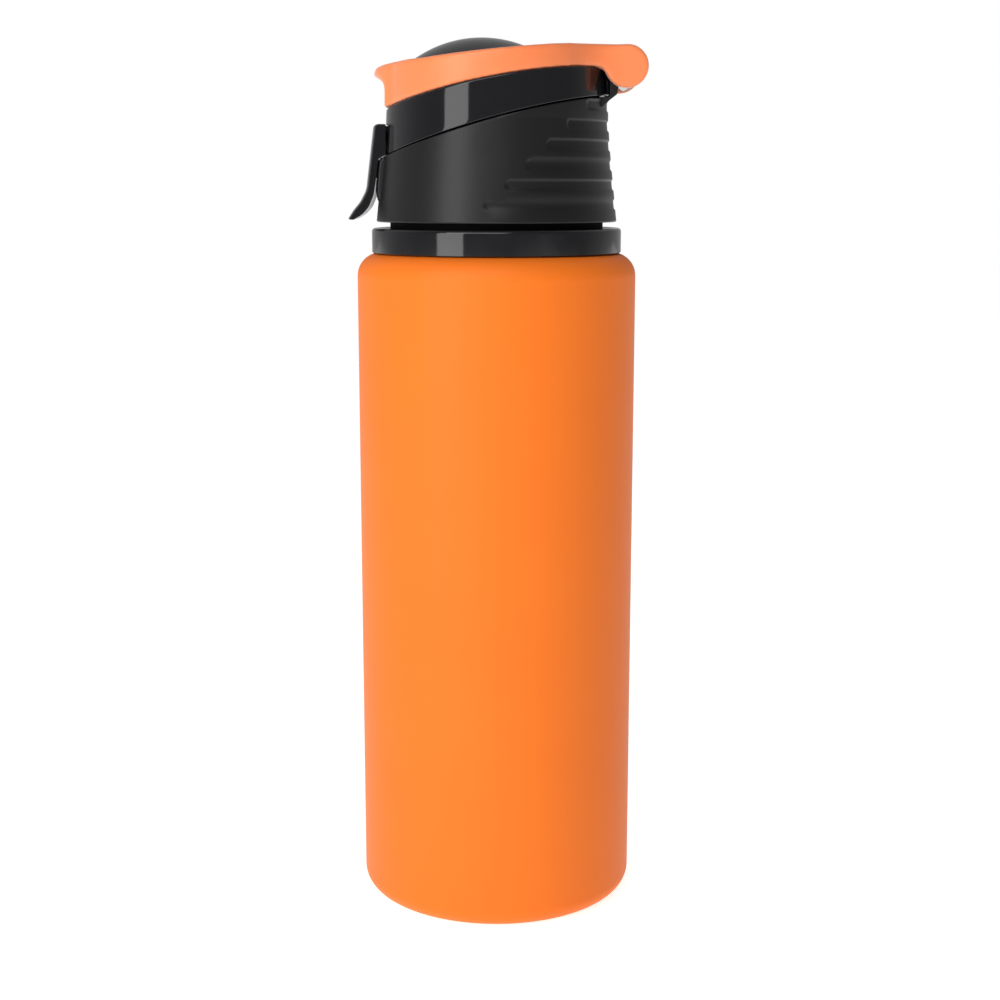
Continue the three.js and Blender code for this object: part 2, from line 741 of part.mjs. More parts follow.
function latchLever() {
  const top = latchZ + latchHead;
  const face = bandRadius + fitGap;
  const profile = ring([
    [bandRadius + 3.0, top - 0.4],
    [bandRadius + 4.05, latchZ - 6.3],
    [bandRadius + 5.07, latchZ - 14.0],
    [bandRadius + 5.5, latchZ - 15.5],
    [bandRadius + 7.3, latchZ - 17.6],
    [bandRadius + 8.7, latchZ - 19.4],
    [bandRadius + 10.0, latchZ - 21.7],
    [bandRadius + 8.6, latchZ - 21.8],
    [bandRadius + 6.3, latchZ - 20.9],
    [bandRadius + 4.55, latchZ - 19.6],
    [bandRadius + 3.3, latchZ - 17.6],
    [bandRadius + 2.7, latchZ - 14.0],
    [bandRadius + 1.65, latchZ - 5.3],
    [face, latchZ - 4.0],
    [face, top - 0.4],
    [face + 0.3, top],
    [bandRadius + 2.7, top],
  ]);
  const width = block(
    [-bandRadius - 14, -latchHalfWidth, latchZ - 24],
    [-bandRadius + 6, latchHalfWidth, top + 1],
  );
  const root = -bandRadius - 2.4;
  const hook = across(outline([
    [root, hookLow],
    [-hookTip, hookLow],
    [-hookTip, hookHigh],
    [root, hookFace(root)],
  ]), -hookHalfWidth, hookHalfWidth);
  const slotRadius = latchLugRadius + fitGap;
  const slotEnd = latchLug + fitGap;
  const springEnd = slotEnd + springWidth + fitGap;
  const slotBlock = block(
    [latchX + 0.2, -slotEnd, latchZ - slotRadius],
    [latchX + 3, springEnd, top + 1],
  );
  const pinHole = latchPinRadius + pinSlack;
  const holeHalf = latchPinHalf + fitGap;
  return profile.intersect(width)
    .add(hook)
    .subtract(rod(slotRadius, -slotEnd, springEnd, latchX, latchZ))
    .subtract(slotBlock)
    .subtract(rod(pinHole, -holeHalf, holeHalf, latchX, latchZ, 16));
}
addPart('latch_lever', latchLever(), finishes.glossBlack);

addPart(
  'latch_pin',
  rod(latchPinRadius, -latchPinHalf, latchPinHalf, latchX, latchZ, 16),
  finishes.steel,
);

function latchSpring() {
  const from = latchLug + fitGap;
  const to = from + springWidth;
  return rod(latchLugRadius, from, to, latchX, latchZ, 20)
    .subtract(rod(latchPinRadius + pinSlack, from - 1, to + 1, latchX, latchZ, 16));
}
addPart('latch_spring', latchSpring(), finishes.steel);

// ---- Carry handle ----------------------------------------------------------------------------

function carryHandle() {
  const ringRadius = bandRadius - handleInset;
  const noseX = -bandRadius - noseReach;
  const topBack = hingeZ + handleThickness - 0.15;
  const topFront = topBack - handleFall;
  const noseZ = topFront - 3.2;
  const under = filletPoint(0);
  const side = new THREE.Shape();
  side.moveTo(noseX, noseZ);
  side.quadraticCurveTo(noseX + 4.5, noseZ + 2.3, noseX + 13, topFront + 0.1);
  side.lineTo(hingeX - 19, topBack - 0.75);
  side.quadraticCurveTo(hingeX - 12, topBack, hingeX - 2, hingeZ + knuckleRadius - 0.2);
  for (const [x, z] of arc(hingeX, hingeZ, knuckleRadius, 85, -150, 18)) {
    side.lineTo(x, z);
  }
  for (const [x, z] of under.reverse()) {
    side.lineTo(x, z);
  }
  for (const [x, z] of along(seatAt, cornerStart - 1, -ringRadius)) {
    side.lineTo(x, z);
  }
  side.lineTo(-ringRadius, noseZ - 3.4);
  side.quadraticCurveTo(-ringRadius - 0.4, noseZ - 1.2, noseX, noseZ - 0.7);

  const tailStart = THREE.MathUtils.degToRad(50);
  const plan = new THREE.Shape();
  plan.absarc(0, 0, ringRadius, tailStart, THREE.MathUtils.degToRad(157), false);
  plan.quadraticCurveTo(noseX + 0.4, noseHalfWidth * 0.6, noseX, 0);
  plan.quadraticCurveTo(noseX + 0.4, -noseHalfWidth * 0.6, ...pointOn(ringRadius, 203));
  plan.absarc(0, 0, ringRadius, THREE.MathUtils.degToRad(203), 2 * Math.PI - tailStart, false);
  plan.quadraticCurveTo(hingeX - 8.5, -hingeHalfWidth, hingeX - 1, -hingeHalfWidth);
  plan.lineTo(hingeX + knuckleRadius + 1, -hingeHalfWidth);
  plan.lineTo(hingeX + knuckleRadius + 1, hingeHalfWidth);
  plan.lineTo(hingeX - 1, hingeHalfWidth);
  plan.quadraticCurveTo(hingeX - 8.5, hingeHalfWidth, ...pointOn(ringRadius, 50));

  const low = seatAt(-bandRadius) - 4;
  const high = hingeZ + 12;
  const tailGap = knuckleRadius + 0.8;
  return across(side, -bandRadius - 1, bandRadius + 1)
    .intersect(upright(plan, low, high))
    .subtract(post(openingRadius, low - 1, high + 1, domeX, bigRound))
    .subtract(rod(tailGap, -handleInner, handleInner, hingeX, hingeZ))
    .subtract(block([hingeX - 2, -handleInner, low], [hingeX + 12, handleInner, high]))
    .subtract(rod(bushOuter + fitGap, -pinHalf - fitGap, pinHalf + fitGap, hingeX, hingeZ));
}
addPart('carry_handle', carryHandle(), finishes.orangeGrip);

export default bottle;
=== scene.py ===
# %% [markdown]
# # A metal sports bottle with a flip-up lid
# The bottle is a drawn aluminium body with a matte orange coat, a black screw cap, a gloss black lid that
# flips up from a rear hinge, an orange carry handle that folds down round the lid's dome, and a latch lever at
# the front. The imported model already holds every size, place and joint, so it is loaded first as a fixed frame.
# Each visible part is then made again as a fine mesh of the same size, which replaces its plain solid.

import json
import math

import bmesh
import bpy
import numpy as np
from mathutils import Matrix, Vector


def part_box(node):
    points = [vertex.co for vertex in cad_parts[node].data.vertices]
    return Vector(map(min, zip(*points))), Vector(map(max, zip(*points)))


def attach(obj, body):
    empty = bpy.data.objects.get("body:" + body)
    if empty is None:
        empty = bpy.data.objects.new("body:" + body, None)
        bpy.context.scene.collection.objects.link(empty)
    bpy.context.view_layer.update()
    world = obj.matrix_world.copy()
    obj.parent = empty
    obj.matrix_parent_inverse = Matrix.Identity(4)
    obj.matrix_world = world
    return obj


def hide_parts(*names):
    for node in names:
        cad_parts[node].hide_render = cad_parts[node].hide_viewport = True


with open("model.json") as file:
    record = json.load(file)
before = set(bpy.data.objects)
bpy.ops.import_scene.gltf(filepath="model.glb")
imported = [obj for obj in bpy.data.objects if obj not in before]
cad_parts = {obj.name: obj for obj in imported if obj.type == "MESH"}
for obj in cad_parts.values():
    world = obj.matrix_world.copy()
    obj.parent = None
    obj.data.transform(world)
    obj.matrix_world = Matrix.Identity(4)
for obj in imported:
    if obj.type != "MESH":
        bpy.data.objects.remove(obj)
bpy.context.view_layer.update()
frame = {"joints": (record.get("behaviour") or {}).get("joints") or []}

# %% [markdown]
# ## Sizes
# All outlines below are written in millimetres, because that is how a bottle is drawn. Blender works in metres,
# so one helper converts at the very end. Sizes that the frame can tell are read from its boxes and joints; the
# few that a box can't tell, such as a wall or a curve, are named here once.

# %% Sizes read from the frame
MM = 0.001


def low_high(node):
    """A node's lowest and highest corners in millimetres."""
    low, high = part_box(node)
    return low / MM, high / MM


joints = {joint["name"]: joint for joint in frame["joints"]}
hinge_x, _, hinge_z = (value / MM for value in joints["lid_open"]["pos_m"])
latch_x, _, latch_z = (value / MM for value in joints["latch_pull"]["pos_m"])
_, shell_high = low_high("bottle_shell")
_, collar_high = low_high("neck_collar")
cap_low, _ = low_high("cap_housing")
lid_low, lid_high = low_high("lid_shell")
handle_low, _ = low_high("carry_handle")
_, spout_high = low_high("spout")
core_low, core_high = low_high("cap_core")
body_radius = shell_high.x
neck_top = shell_high.z
cap_bottom = cap_low.z
print(f"hinge at x {hinge_x:.1f} z {hinge_z:.1f}, latch pin at x {latch_x:.1f} z {latch_z:.1f} mm")

# %% Sizes that the boxes can't tell
FIT = 0.3                    # clearance between pieces that touch or nest
SHOULDER_RADIUS = 6.0
FOOT_CORNER = 5.0
FOOT_WIDTH = 4.0
BASE_RECESS = 2.5
BODY_WALL = 1.0
NECK_HEIGHT = 18.5
COLLAR_HEIGHT = 6.4
BAND_RADIUS = 28.9           # lid and cap where they meet
CAP_FLARE = 2.45             # the cap's lower edge stands out this much further
WAIST_FLARE = 0.7
WAIST_HEIGHT = 16.8
STRAIGHT_HEIGHT = 25.5
CAP_WALL = 1.2
LID_WALL = 1.6
LID_TAPER = 0.7
SPLIT_HEIGHT = 26.4          # parting line above the cap's lower edge, on the axis
SPLIT_GAP = 0.8
SEAT_HEIGHT = 9.22           # handle's seat above the parting line, on the axis
DOME_X = -3.8
DOME_SPHERE = 30.7
KNUCKLE_RADIUS = 5.4
BLACK_KNUCKLE = KNUCKLE_RADIUS - 0.3     # stays hidden behind the handle's barrel
shoulder_top = neck_top - NECK_HEIGHT
collar_top = shoulder_top + COLLAR_HEIGHT
split_mid = cap_bottom + SPLIT_HEIGHT
seat_mid = split_mid + SEAT_HEIGHT
dome_top = lid_high.z
dome_centre = dome_top - DOME_SPHERE
handle_opening = BAND_RADIUS - 7.6
dome_plan = handle_opening - 0.8
SPLIT_SLOPE, SPLIT_SAG = 0.263, 0.00196
SEAT_SLOPE, SEAT_SAG = 0.1772, 0.00225


def split_at(x):
    """Height of the sloped parting line between cap and lid."""
    return split_mid + SPLIT_SLOPE * x - SPLIT_SAG * x * x


def seat_at(x):
    """Height of the face that the folded handle rests on."""
    return seat_mid + SEAT_SLOPE * x - SEAT_SAG * x * x


def cap_radius(z):
    """Outer radius of the cap's skirt: a firm taper, then an easier one, then upright."""
    height = z - cap_bottom
    if height < WAIST_HEIGHT:
        return BAND_RADIUS + CAP_FLARE + (WAIST_FLARE - CAP_FLARE) * height / WAIST_HEIGHT
    upper = min((height - WAIST_HEIGHT) / (STRAIGHT_HEIGHT - WAIST_HEIGHT), 1)
    return BAND_RADIUS + WAIST_FLARE * (1 - upper)


# %% [markdown]
# ## Helpers for meshes
# Almost every part of a bottle is either turned on an axis or cut from a plate with rounded edges. So there are
# three makers: one fillets the corners of an outline, one spins an outline round an upright axis, and one
# stacks outlines into a closed solid. Real mouldings have no sharp edges, and it is the small rounds that catch
# the light, so each outline point may carry its own radius.

# %% Round the corners of an outline
SHORTEST_REACH = 0.02        # a corner straighter than this stays one point, or its arc would fold onto itself


def rounded(points, closed=True, steps=5):
    """Points are (a, b) or (a, b, radius); each corner with a radius becomes an arc."""
    corners = [(Vector(point[:2]), point[2] if len(point) > 2 else 0) for point in points]
    count = len(corners)
    result = []
    for index, (corner, radius) in enumerate(corners):
        if radius <= 0 or (not closed and index in (0, count - 1)):
            result.append(tuple(corner))
            continue
        back = corners[index - 1][0] - corner
        ahead = corners[(index + 1) % count][0] - corner
        half = back.angle(ahead) / 2
        reach = min(radius / math.tan(half), 0.49 * back.length, 0.49 * ahead.length)
        if reach < SHORTEST_REACH:
            result.append(tuple(corner))
            continue
        start = corner + back.normalized() * reach
        end = corner + ahead.normalized() * reach
        for step in range(steps + 1):
            t = step / steps
            point = start * (1 - t) ** 2 + corner * 2 * t * (1 - t) + end * t ** 2
            result.append(tuple(point))
    return result


def arc_points(a, b, radius, start, end, steps):
    """Points on an arc round (a, b), angles in degrees."""
    angles = np.radians(np.linspace(start, end, steps + 1))
    return [(a + radius * math.cos(angle), b + radius * math.sin(angle)) for angle in angles]


# %% Turn points and faces into an object
def new_object(name, points, faces, material, sharp=40):
    """A smooth-shaded mesh object at the origin from points in millimetres, normals facing out."""
    mesh = bpy.data.meshes.new(name)
    mesh.from_pydata([[value * MM for value in point] for point in points], [], faces)
    work = bmesh.new()
    work.from_mesh(mesh)
    bmesh.ops.remove_doubles(work, verts=work.verts, dist=1e-7)
    bmesh.ops.dissolve_degenerate(work, edges=work.edges, dist=1e-8)
    bmesh.ops.recalc_face_normals(work, faces=work.faces)
    work.to_mesh(mesh)
    work.free()
    piece = bpy.data.objects.new(name, mesh)
    bpy.context.scene.collection.objects.link(piece)
    mesh.materials.append(material)
    smooth(piece, sharp)
    return piece


def smooth(piece, sharp=40):
    """Smooth shading, with edges left crisp where faces meet at more than the angle."""
    piece.data.polygons.foreach_set("use_smooth", [True] * len(piece.data.polygons))
    piece.data.set_sharp_from_angle(angle=math.radians(sharp))


# %% Spin an outline round an upright axis
def turned(name, outline, material, x=0.0, steps=192, sharp=40):
    """A solid of revolution. An outline that starts and ends on the axis is capped by its poles."""
    solid_core = outline[0][0] == 0 and outline[-1][0] == 0
    points = []
    for step in range(steps):
        angle = 2 * math.pi * step / steps
        points += [(x + r * math.cos(angle), r * math.sin(angle), z) for r, z in outline]
    rows = len(outline)
    last = rows - 1 if solid_core else rows
    faces = []
    for step in range(steps):
        here, there = step * rows, (step + 1) % steps * rows
        for row in range(last):
            after = (row + 1) % rows
            faces.append((here + row, there + row, there + after, here + after))
    return new_object(name, points, faces, material, sharp)


# %% Stack outlines into a closed solid
def lofted(name, loops, material, sharp=40):
    """Joins loops of equal length with quads and closes both ends."""
    size = len(loops[0])
    points = [point for loop in loops for point in loop]
    faces = [tuple(range(size)), tuple(reversed(range(len(points) - size, len(points))))]
    for level in range(len(loops) - 1):
        for index in range(size):
            after = (index + 1) % size
            low, high = level * size, (level + 1) * size
            faces.append((low + index, low + after, high + after, high + index))
    return new_object(name, points, faces, material, sharp)


def inset(outline, distance):
    """An outline moved inwards along its own normals."""
    shape = np.array(outline, float)
    back, ahead = np.roll(shape, 1, 0), np.roll(shape, -1, 0)
    tangent = ahead - back
    normal = np.stack([-tangent[:, 1], tangent[:, 0]], 1)
    normal /= np.maximum(np.linalg.norm(normal, axis=1, keepdims=True), 1e-9)
    area = np.sum(shape[:, 0] * ahead[:, 1] - ahead[:, 0] * shape[:, 1])
    return shape + normal * distance * (1 if area > 0 else -1)


def edge_steps(low, high, edge, steps=4):
    """Positions and insets that round both ends of a loft."""
    quarter = [math.pi / 2 * step / steps for step in range(steps + 1)]
    start = [(low + edge * (1 - math.cos(t)), edge * (1 - math.sin(t))) for t in quarter]
    end = [(high - (position - low), depth) for position, depth in reversed(start)]
    return start + end


def plate(name, outline, low, high, material, edge=0.3, sharp=40):
    """A side outline in X and Z, extruded along Y with rounded edges."""
    loops = []
    for y, depth in edge_steps(low, high, edge):
        loops.append([(a, y, b) for a, b in inset(outline, depth)])
    return lofted(name, loops, material, sharp)


def rod(name, radius, low, high, x, z, material, edge=0.2, steps=64):
    """A round bar along Y with rounded ends."""
    return plate(name, arc_points(x, z, radius, 0, 360, steps)[:-1], low, high, material, edge)


# %% Plates that follow the bottle
def wrapped_plate(name, outline, low, high, material, edge):
    """Like a plate, but every point keeps its radius round the bottle's axis, at the front."""
    loops = []
    steps = edge_steps(low, high, edge)
    middle = [(y, 0) for y in np.linspace(low + edge, high - edge, 26)[1:-1]]
    for y, depth in steps[:5] + middle + steps[5:]:
        loops.append([(-math.sqrt(r * r - y * y), y, z) for r, z in inset(outline, depth)])
    return lofted(name, loops, material)


# %% Cut and join solids
def open_edges(piece):
    """How many edges don't have exactly two faces; a closed solid has none."""
    work = bmesh.new()
    work.from_mesh(piece.data)
    count = sum(len(edge.link_faces) != 2 for edge in work.edges)
    work.free()
    return count


def carve(piece, cutter, operation="DIFFERENCE"):
    """Applies a boolean with another closed solid, which is then deleted. An open solid can't be cut, and the
    modifier would only skip it, so that stops the script."""
    for solid in (piece, cutter):
        if open_edges(solid):
            raise ValueError(f"{solid.name} has {open_edges(solid)} open edges, so {piece.name} can't be cut")
    modifier = piece.modifiers.new("boolean", "BOOLEAN")
    modifier.operation = operation
    modifier.solver = "MANIFOLD"
    modifier.object = cutter
    settle(piece)
    bpy.data.objects.remove(cutter)
    smooth(piece)
    return piece


def settle(piece):
    """Replaces a piece's mesh with what its modifiers make of it, and removes them."""
    bpy.context.view_layer.update()
    made = bpy.data.meshes.new_from_object(piece.evaluated_get(bpy.context.evaluated_depsgraph_get()))
    piece.modifiers.clear()
    piece.data = made


def weigh_normals(piece):
    """Merges flat neighbours, then lets large faces rule the shading, so that narrow edges don't tint them."""
    work = bmesh.new()
    work.from_mesh(piece.data)
    bmesh.ops.dissolve_limit(work, angle_limit=math.radians(0.05), verts=work.verts, edges=work.edges)
    work.to_mesh(piece.data)
    work.free()
    smooth(piece)
    modifier = piece.modifiers.new("weigh", "WEIGHTED_NORMAL")
    modifier.keep_sharp = True
    settle(piece)


def finish_piece(piece, body, slot, *nodes):
    """Says which body a piece rides on and the CAD nodes it stands for; slot, its finish, is not used."""
    weigh_normals(piece)
    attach(piece, body)
    if nodes:
        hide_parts(*nodes)
    return piece


# %% [markdown]
# ## Finishes
# Ten finishes cover the bottle. Each starts from a Principled shader. Nine add what the real surface has: the
# soft-touch coat has a very fine grain and slight unevenness, moulded plastic has a faint spark-eroded texture
# or a polish with a slow ripple, silicone scatters light, and drawn metal shows fine lines round its axis. The
# tenth is a near-black matte with hardly any reflection: painted shade for the gap between cap and collar.
# All patterns read Object coordinates, so they stay on the piece when it moves.

# %% A base for every finish
def shader(name, color, roughness, metallic=0.0, **sockets):
    """A new material with one Principled shader, and its nodes."""
    material = bpy.data.materials.new(name)
    material.use_nodes = True
    nodes, links = material.node_tree.nodes, material.node_tree.links
    main = nodes["Principled BSDF"]
    main.inputs["Base Color"].default_value = (*color, 1)
    main.inputs["Roughness"].default_value = roughness
    main.inputs["Metallic"].default_value = metallic
    for socket, value in sockets.items():
        main.inputs[socket.replace("_", " ")].default_value = value
    return material, nodes, links, main


def add_noise(nodes, links, size, detail=3.0, stretch=(1, 1, 1)):
    """A noise whose blotches are about size millimetres wide."""
    place = nodes.new("ShaderNodeTexCoord")
    mapping = nodes.new("ShaderNodeMapping")
    mapping.inputs["Scale"].default_value = stretch
    noise = nodes.new("ShaderNodeTexNoise")
    noise.inputs["Scale"].default_value = 1 / (size * MM)
    noise.inputs["Detail"].default_value = detail
    links.new(place.outputs["Object"], mapping.inputs["Vector"])
    links.new(mapping.outputs["Vector"], noise.inputs["Vector"])
    return noise.outputs["Fac"]


def add_range(nodes, links, source, low, high, target):
    """Sends a noise to a socket, between two values."""
    ramp = nodes.new("ShaderNodeMapRange")
    ramp.inputs["From Min"].default_value = 0.3
    ramp.inputs["From Max"].default_value = 0.7
    ramp.inputs["To Min"].default_value = low
    ramp.inputs["To Max"].default_value = high
    links.new(source, ramp.inputs["Value"])
    links.new(ramp.outputs["Result"], target)


def add_tint(nodes, links, source, dark, light, target):
    """Sends a noise to a colour socket, between two colours."""
    blend = nodes.new("ShaderNodeMix")
    blend.data_type = "RGBA"
    blend.inputs["A"].default_value = (*dark, 1)
    blend.inputs["B"].default_value = (*light, 1)
    links.new(source, blend.inputs["Factor"])
    links.new(blend.outputs["Result"], target)


def add_bump(nodes, links, source, main, depth, strength=1.0):
    """A bump of a real depth in millimetres."""
    bump = nodes.new("ShaderNodeBump")
    bump.inputs["Strength"].default_value = strength
    bump.inputs["Distance"].default_value = depth * MM
    links.new(source, bump.inputs["Height"])
    links.new(bump.outputs["Normal"], main.inputs["Normal"])


# %% One maker for all finishes
def finish(name, color, grain, bump, cloud=None, stretch=(1, 1, 1), metallic=0.0, **sockets):
    """grain is its size, detail, lowest and highest roughness; bump is its depth and strength; cloud is the
    size and detail of a slow change between a dark and a light colour."""
    size, detail, low, high = grain
    material, nodes, links, main = shader(name, color, (low + high) / 2, metallic, **sockets)
    if cloud:
        cloud_size, cloud_detail, dark, light = cloud
        haze = add_noise(nodes, links, cloud_size, cloud_detail)
        add_tint(nodes, links, haze, dark, light, main.inputs["Base Color"])
    texture = add_noise(nodes, links, size, detail, stretch)
    add_range(nodes, links, texture, low, high, main.inputs["Roughness"])
    add_bump(nodes, links, texture, main, *bump)
    return material


# %% Orange coat and orange grip
ORANGE = finish("soft_coat", (0.86, 0.178, 0.012), (0.22, 4, 0.46, 0.56), (0.012, 0.6),
                cloud=(28, 2, (0.84, 0.17, 0.011), (0.88, 0.186, 0.013)), Specular_IOR_Level=0.22)
GRIP = finish("grip_plastic", (0.87, 0.223, 0.07), (0.3, 4, 0.38, 0.48), (0.01, 0.6),
              cloud=(9, 2, (0.85, 0.215, 0.066), (0.89, 0.231, 0.074)), Subsurface_Weight=0.12,
              Subsurface_Radius=(1.0, 0.35, 0.12), Subsurface_Scale=0.002,
              Sheen_Weight=0.35, Sheen_Roughness=0.4)

# %% Black mouldings
GLOSS = finish("gloss_moulding", (0.009, 0.009, 0.0105), (7, 1, 0.055, 0.09), (0.01, 0.25),
               Specular_IOR_Level=0.42)
SATIN = finish("satin_moulding", (0.0085, 0.0085, 0.0093), (0.16, 5, 0.32, 0.42), (0.01, 0.8),
               Specular_IOR_Level=0.3)
# Near-black matte with hardly any reflection, darker than the moulding itself: painted shade for the gap between
# cap and collar.
GAP_SHADE = finish("painted_gap_shade", (0.003, 0.003, 0.003), (0.3, 4, 0.65, 0.8), (0.012, 0.5),
              Specular_IOR_Level=0.08)

# %% Inner plastics, silicone, rubber and metals
PLAIN = finish("plain_moulding", (0.2, 0.215, 0.225), (0.4, 4, 0.34, 0.46), (0.012, 0.6))
SILICONE = finish("soft_silicone", (0.74, 0.77, 0.78), (2.5, 3, 0.28, 0.42), (0.02, 0.3),
                  cloud=(2.5, 3, (0.7, 0.735, 0.75), (0.78, 0.8, 0.805)), Subsurface_Weight=0.35,
                  Subsurface_Radius=(1.0, 1.0, 1.0), Subsurface_Scale=0.003)
RUBBER = finish("seal_rubber", (0.018, 0.018, 0.018), (0.2, 4, 0.5, 0.65), (0.015, 0.7))
ALUMINIUM = finish("bare_aluminium", (0.62, 0.63, 0.64), (1.2, 4, 0.27, 0.42), (0.006, 0.5), stretch=(1, 1, 9),
                   metallic=1.0)
STEEL = finish("pin_steel", (0.5, 0.51, 0.52), (1.2, 4, 0.19, 0.34), (0.006, 0.5), stretch=(12, 1, 12),
               metallic=1.0)
print("finishes", len(bpy.data.materials))

# %% [markdown]
# ## Camera, floor and light
# The bottle is seen square on from its side, from a little below its lid, so the lens looks slightly down. A
# white room with a pale floor gives even light all round, as a product tent does. One tall soft box at the
# front left makes the upright streak on the gloss parts, and a wide one overhead shapes the rounded tops.

# %% Camera
camera_data = bpy.data.cameras.new("camera")
camera_data.lens = 60.81
camera_data.sensor_width = 36
camera_data.shift_x = 0.0035
camera = bpy.data.objects.new("camera", camera_data)
camera.location = (0, -0.44876, 0.19005)
camera.rotation_euler = (math.radians(90 - 10.4536), 0, 0)
bpy.context.scene.collection.objects.link(camera)
bpy.context.scene.camera = camera

# %% Floor and white room
floor_mesh = bpy.data.meshes.new("floor")
floor_mesh.from_pydata([(-4, -4, 0), (4, -4, 0), (4, 4, 0), (-4, 4, 0)], [], [(0, 1, 2, 3)])
floor = bpy.data.objects.new("floor", floor_mesh)
bpy.context.scene.collection.objects.link(floor)
floor_paint, _, _, floor_main = shader("floor_paint", (0.8, 0.8, 0.8), 0.7)
floor_main.inputs["Emission Color"].default_value = (1, 1, 1, 1)
floor_main.inputs["Emission Strength"].default_value = 0.75
floor_mesh.materials.append(floor_paint)
bpy.context.scene.view_settings.view_transform = "Standard"


def white_room(front, back):
    """A room that is white to look at, but whose light is dimmer at the front than behind the bottle."""
    room = bpy.data.worlds.new("room")
    room.use_nodes = True
    nodes, links = room.node_tree.nodes, room.node_tree.links
    axes = nodes.new("ShaderNodeSeparateXYZ")
    links.new(nodes.new("ShaderNodeTexCoord").outputs["Generated"], axes.inputs["Vector"])
    ramp = nodes.new("ShaderNodeMapRange")
    ramp.interpolation_type = "SMOOTHSTEP"
    for socket, value in (("From Min", -0.35), ("From Max", 0.55), ("To Min", front), ("To Max", back)):
        ramp.inputs[socket].default_value = value
    links.new(axes.outputs["Y"], ramp.inputs["Value"])
    seen = nodes.new("ShaderNodeMix")
    links.new(nodes.new("ShaderNodeLightPath").outputs["Is Camera Ray"], seen.inputs["Factor"])
    links.new(ramp.outputs["Result"], seen.inputs["A"])
    seen.inputs["B"].default_value = 1.0
    links.new(seen.outputs["Result"], nodes["Background"].inputs["Strength"])
    nodes["Background"].inputs["Color"].default_value = (1, 1, 1, 1)
    bpy.context.scene.world = room


white_room(front=0.17, back=0.42)

# %% Soft boxes
def soft_box(name, place, target, width, height, power):
    """A rectangular area light turned to face a target; sizes in metres."""
    lamp = bpy.data.lights.new(name, "AREA")
    lamp.shape = "RECTANGLE"
    lamp.size = width
    lamp.size_y = height
    lamp.energy = power
    light = bpy.data.objects.new(name, lamp)
    light.location = place
    direction = Vector(target) - Vector(place)
    light.rotation_euler = direction.to_track_quat("-Z", "Y").to_euler()
    bpy.context.scene.collection.objects.link(light)


soft_box("front_left_box", (-0.636, -0.706, 0.25), (0, 0, 0.17), 0.42, 0.9, 4.6)
soft_box("front_top_box", (-0.35, -0.95, 0.95), (0, 0, 0.12), 1.2, 0.8, 8.5)
print("camera at", [round(value, 3) for value in camera.location])

# %% [markdown]
# ## The drawn body
# A metal bottle is drawn from one disc, so its wall is even and every corner is an arc. Its outline is spun
# round the axis in fine steps. The coat covers the outside only: the neck and the inside stay bare metal, which
# is a second material on the same mesh, chosen face by face.

# %% Bottle body
neck_radius = (cap_radius(neck_top) - CAP_WALL - 2.4 - 0.8 - 3 * FIT)


def body_side(wall):
    """Points from the base's centre to the shoulder's flat top, moved inwards by a wall."""
    foot = body_radius - FOOT_CORNER
    flat = body_radius - SHOULDER_RADIUS
    dome = [(0, BASE_RECESS + wall), (9, BASE_RECESS - 0.1 + wall), (19.25, BASE_RECESS * 0.6 + wall),
            (24.5, 0.7 + wall), (foot - FOOT_WIDTH - 0.6, 0.08 + wall), (foot - FOOT_WIDTH, wall)]
    side = arc_points(foot, FOOT_CORNER, FOOT_CORNER - wall, -90, 0, 14)
    side += [(body_radius - wall, z) for z in np.linspace(12, shoulder_top - 12, 12)]
    side += arc_points(flat, shoulder_top - SHOULDER_RADIUS, SHOULDER_RADIUS - wall, 0, 90, 18)
    return dome + side


def bottle_shell():
    inner = neck_radius - BODY_WALL
    lip = arc_points(neck_radius - 0.5, neck_top - 0.5, 0.5, 0, 180, 10)
    outline = body_side(0) + [(neck_radius, shoulder_top)] + lip
    outline += [(inner, shoulder_top - BODY_WALL)] + body_side(BODY_WALL)[::-1]
    piece = turned("bottle_body", outline, ORANGE, steps=256)
    piece.data.materials.append(ALUMINIUM)
    for face in piece.data.polygons:
        radius = math.hypot(face.center.x, face.center.y) / MM
        height = face.center.z / MM
        inside = face.normal.x * face.center.x + face.normal.y * face.center.y < -1e-6 and height > BASE_RECESS
        floor_inside = face.normal.z > 0.3 and radius < body_radius - 2 and height < 12
        under_cap = height > shoulder_top - 0.5 and radius < neck_radius + 0.4
        roof_inside = face.normal.z < -0.3 and height > 100
        face.material_index = int(inside or floor_inside or under_cap or roof_inside)
    return finish_piece(piece, "bottle", "coated_aluminium", "bottle_shell")


body = bottle_shell()
print("body faces", len(body.data.polygons), "neck radius", round(neck_radius, 3))

# %% [markdown]
# ## Threads, made by Geometry Nodes
# A screw thread follows a path: a short bar of one section led along a helix. The tree takes a spiral curve,
# turns its normals upright so that the section doesn't twist, and sweeps a trapezium along it, thinning the
# ends as a mould does. The same tree makes the outside thread on the collar and the inside thread of the cap.


# %% Helpers for node trees
def new_tree(name, labels):
    """An empty geometry tree with named number inputs, its input node and its output node."""
    tree = bpy.data.node_groups.new(name, "GeometryNodeTree")
    tree.interface.new_socket("Geometry", in_out="INPUT", socket_type="NodeSocketGeometry")
    for label in labels:
        tree.interface.new_socket(label, in_out="INPUT", socket_type="NodeSocketFloat")
    tree.interface.new_socket("Geometry", in_out="OUTPUT", socket_type="NodeSocketGeometry")
    return tree, tree.nodes.new("NodeGroupInput").outputs, tree.nodes.new("NodeGroupOutput").inputs


def connect(tree, value, socket):
    """Links a socket to a socket, or writes a plain value into it."""
    if isinstance(value, bpy.types.NodeSocket):
        tree.links.new(value, socket)
    else:
        socket.default_value = value


def step_node(tree, kind, settings=None, **values):
    """Adds a node, sets its properties and feeds its inputs by name."""
    node = tree.nodes.new(kind)
    for key, value in (settings or {}).items():
        setattr(node, key, value)
    for key, value in values.items():
        connect(tree, value, node.inputs[key.replace("_", " ")])
    return node


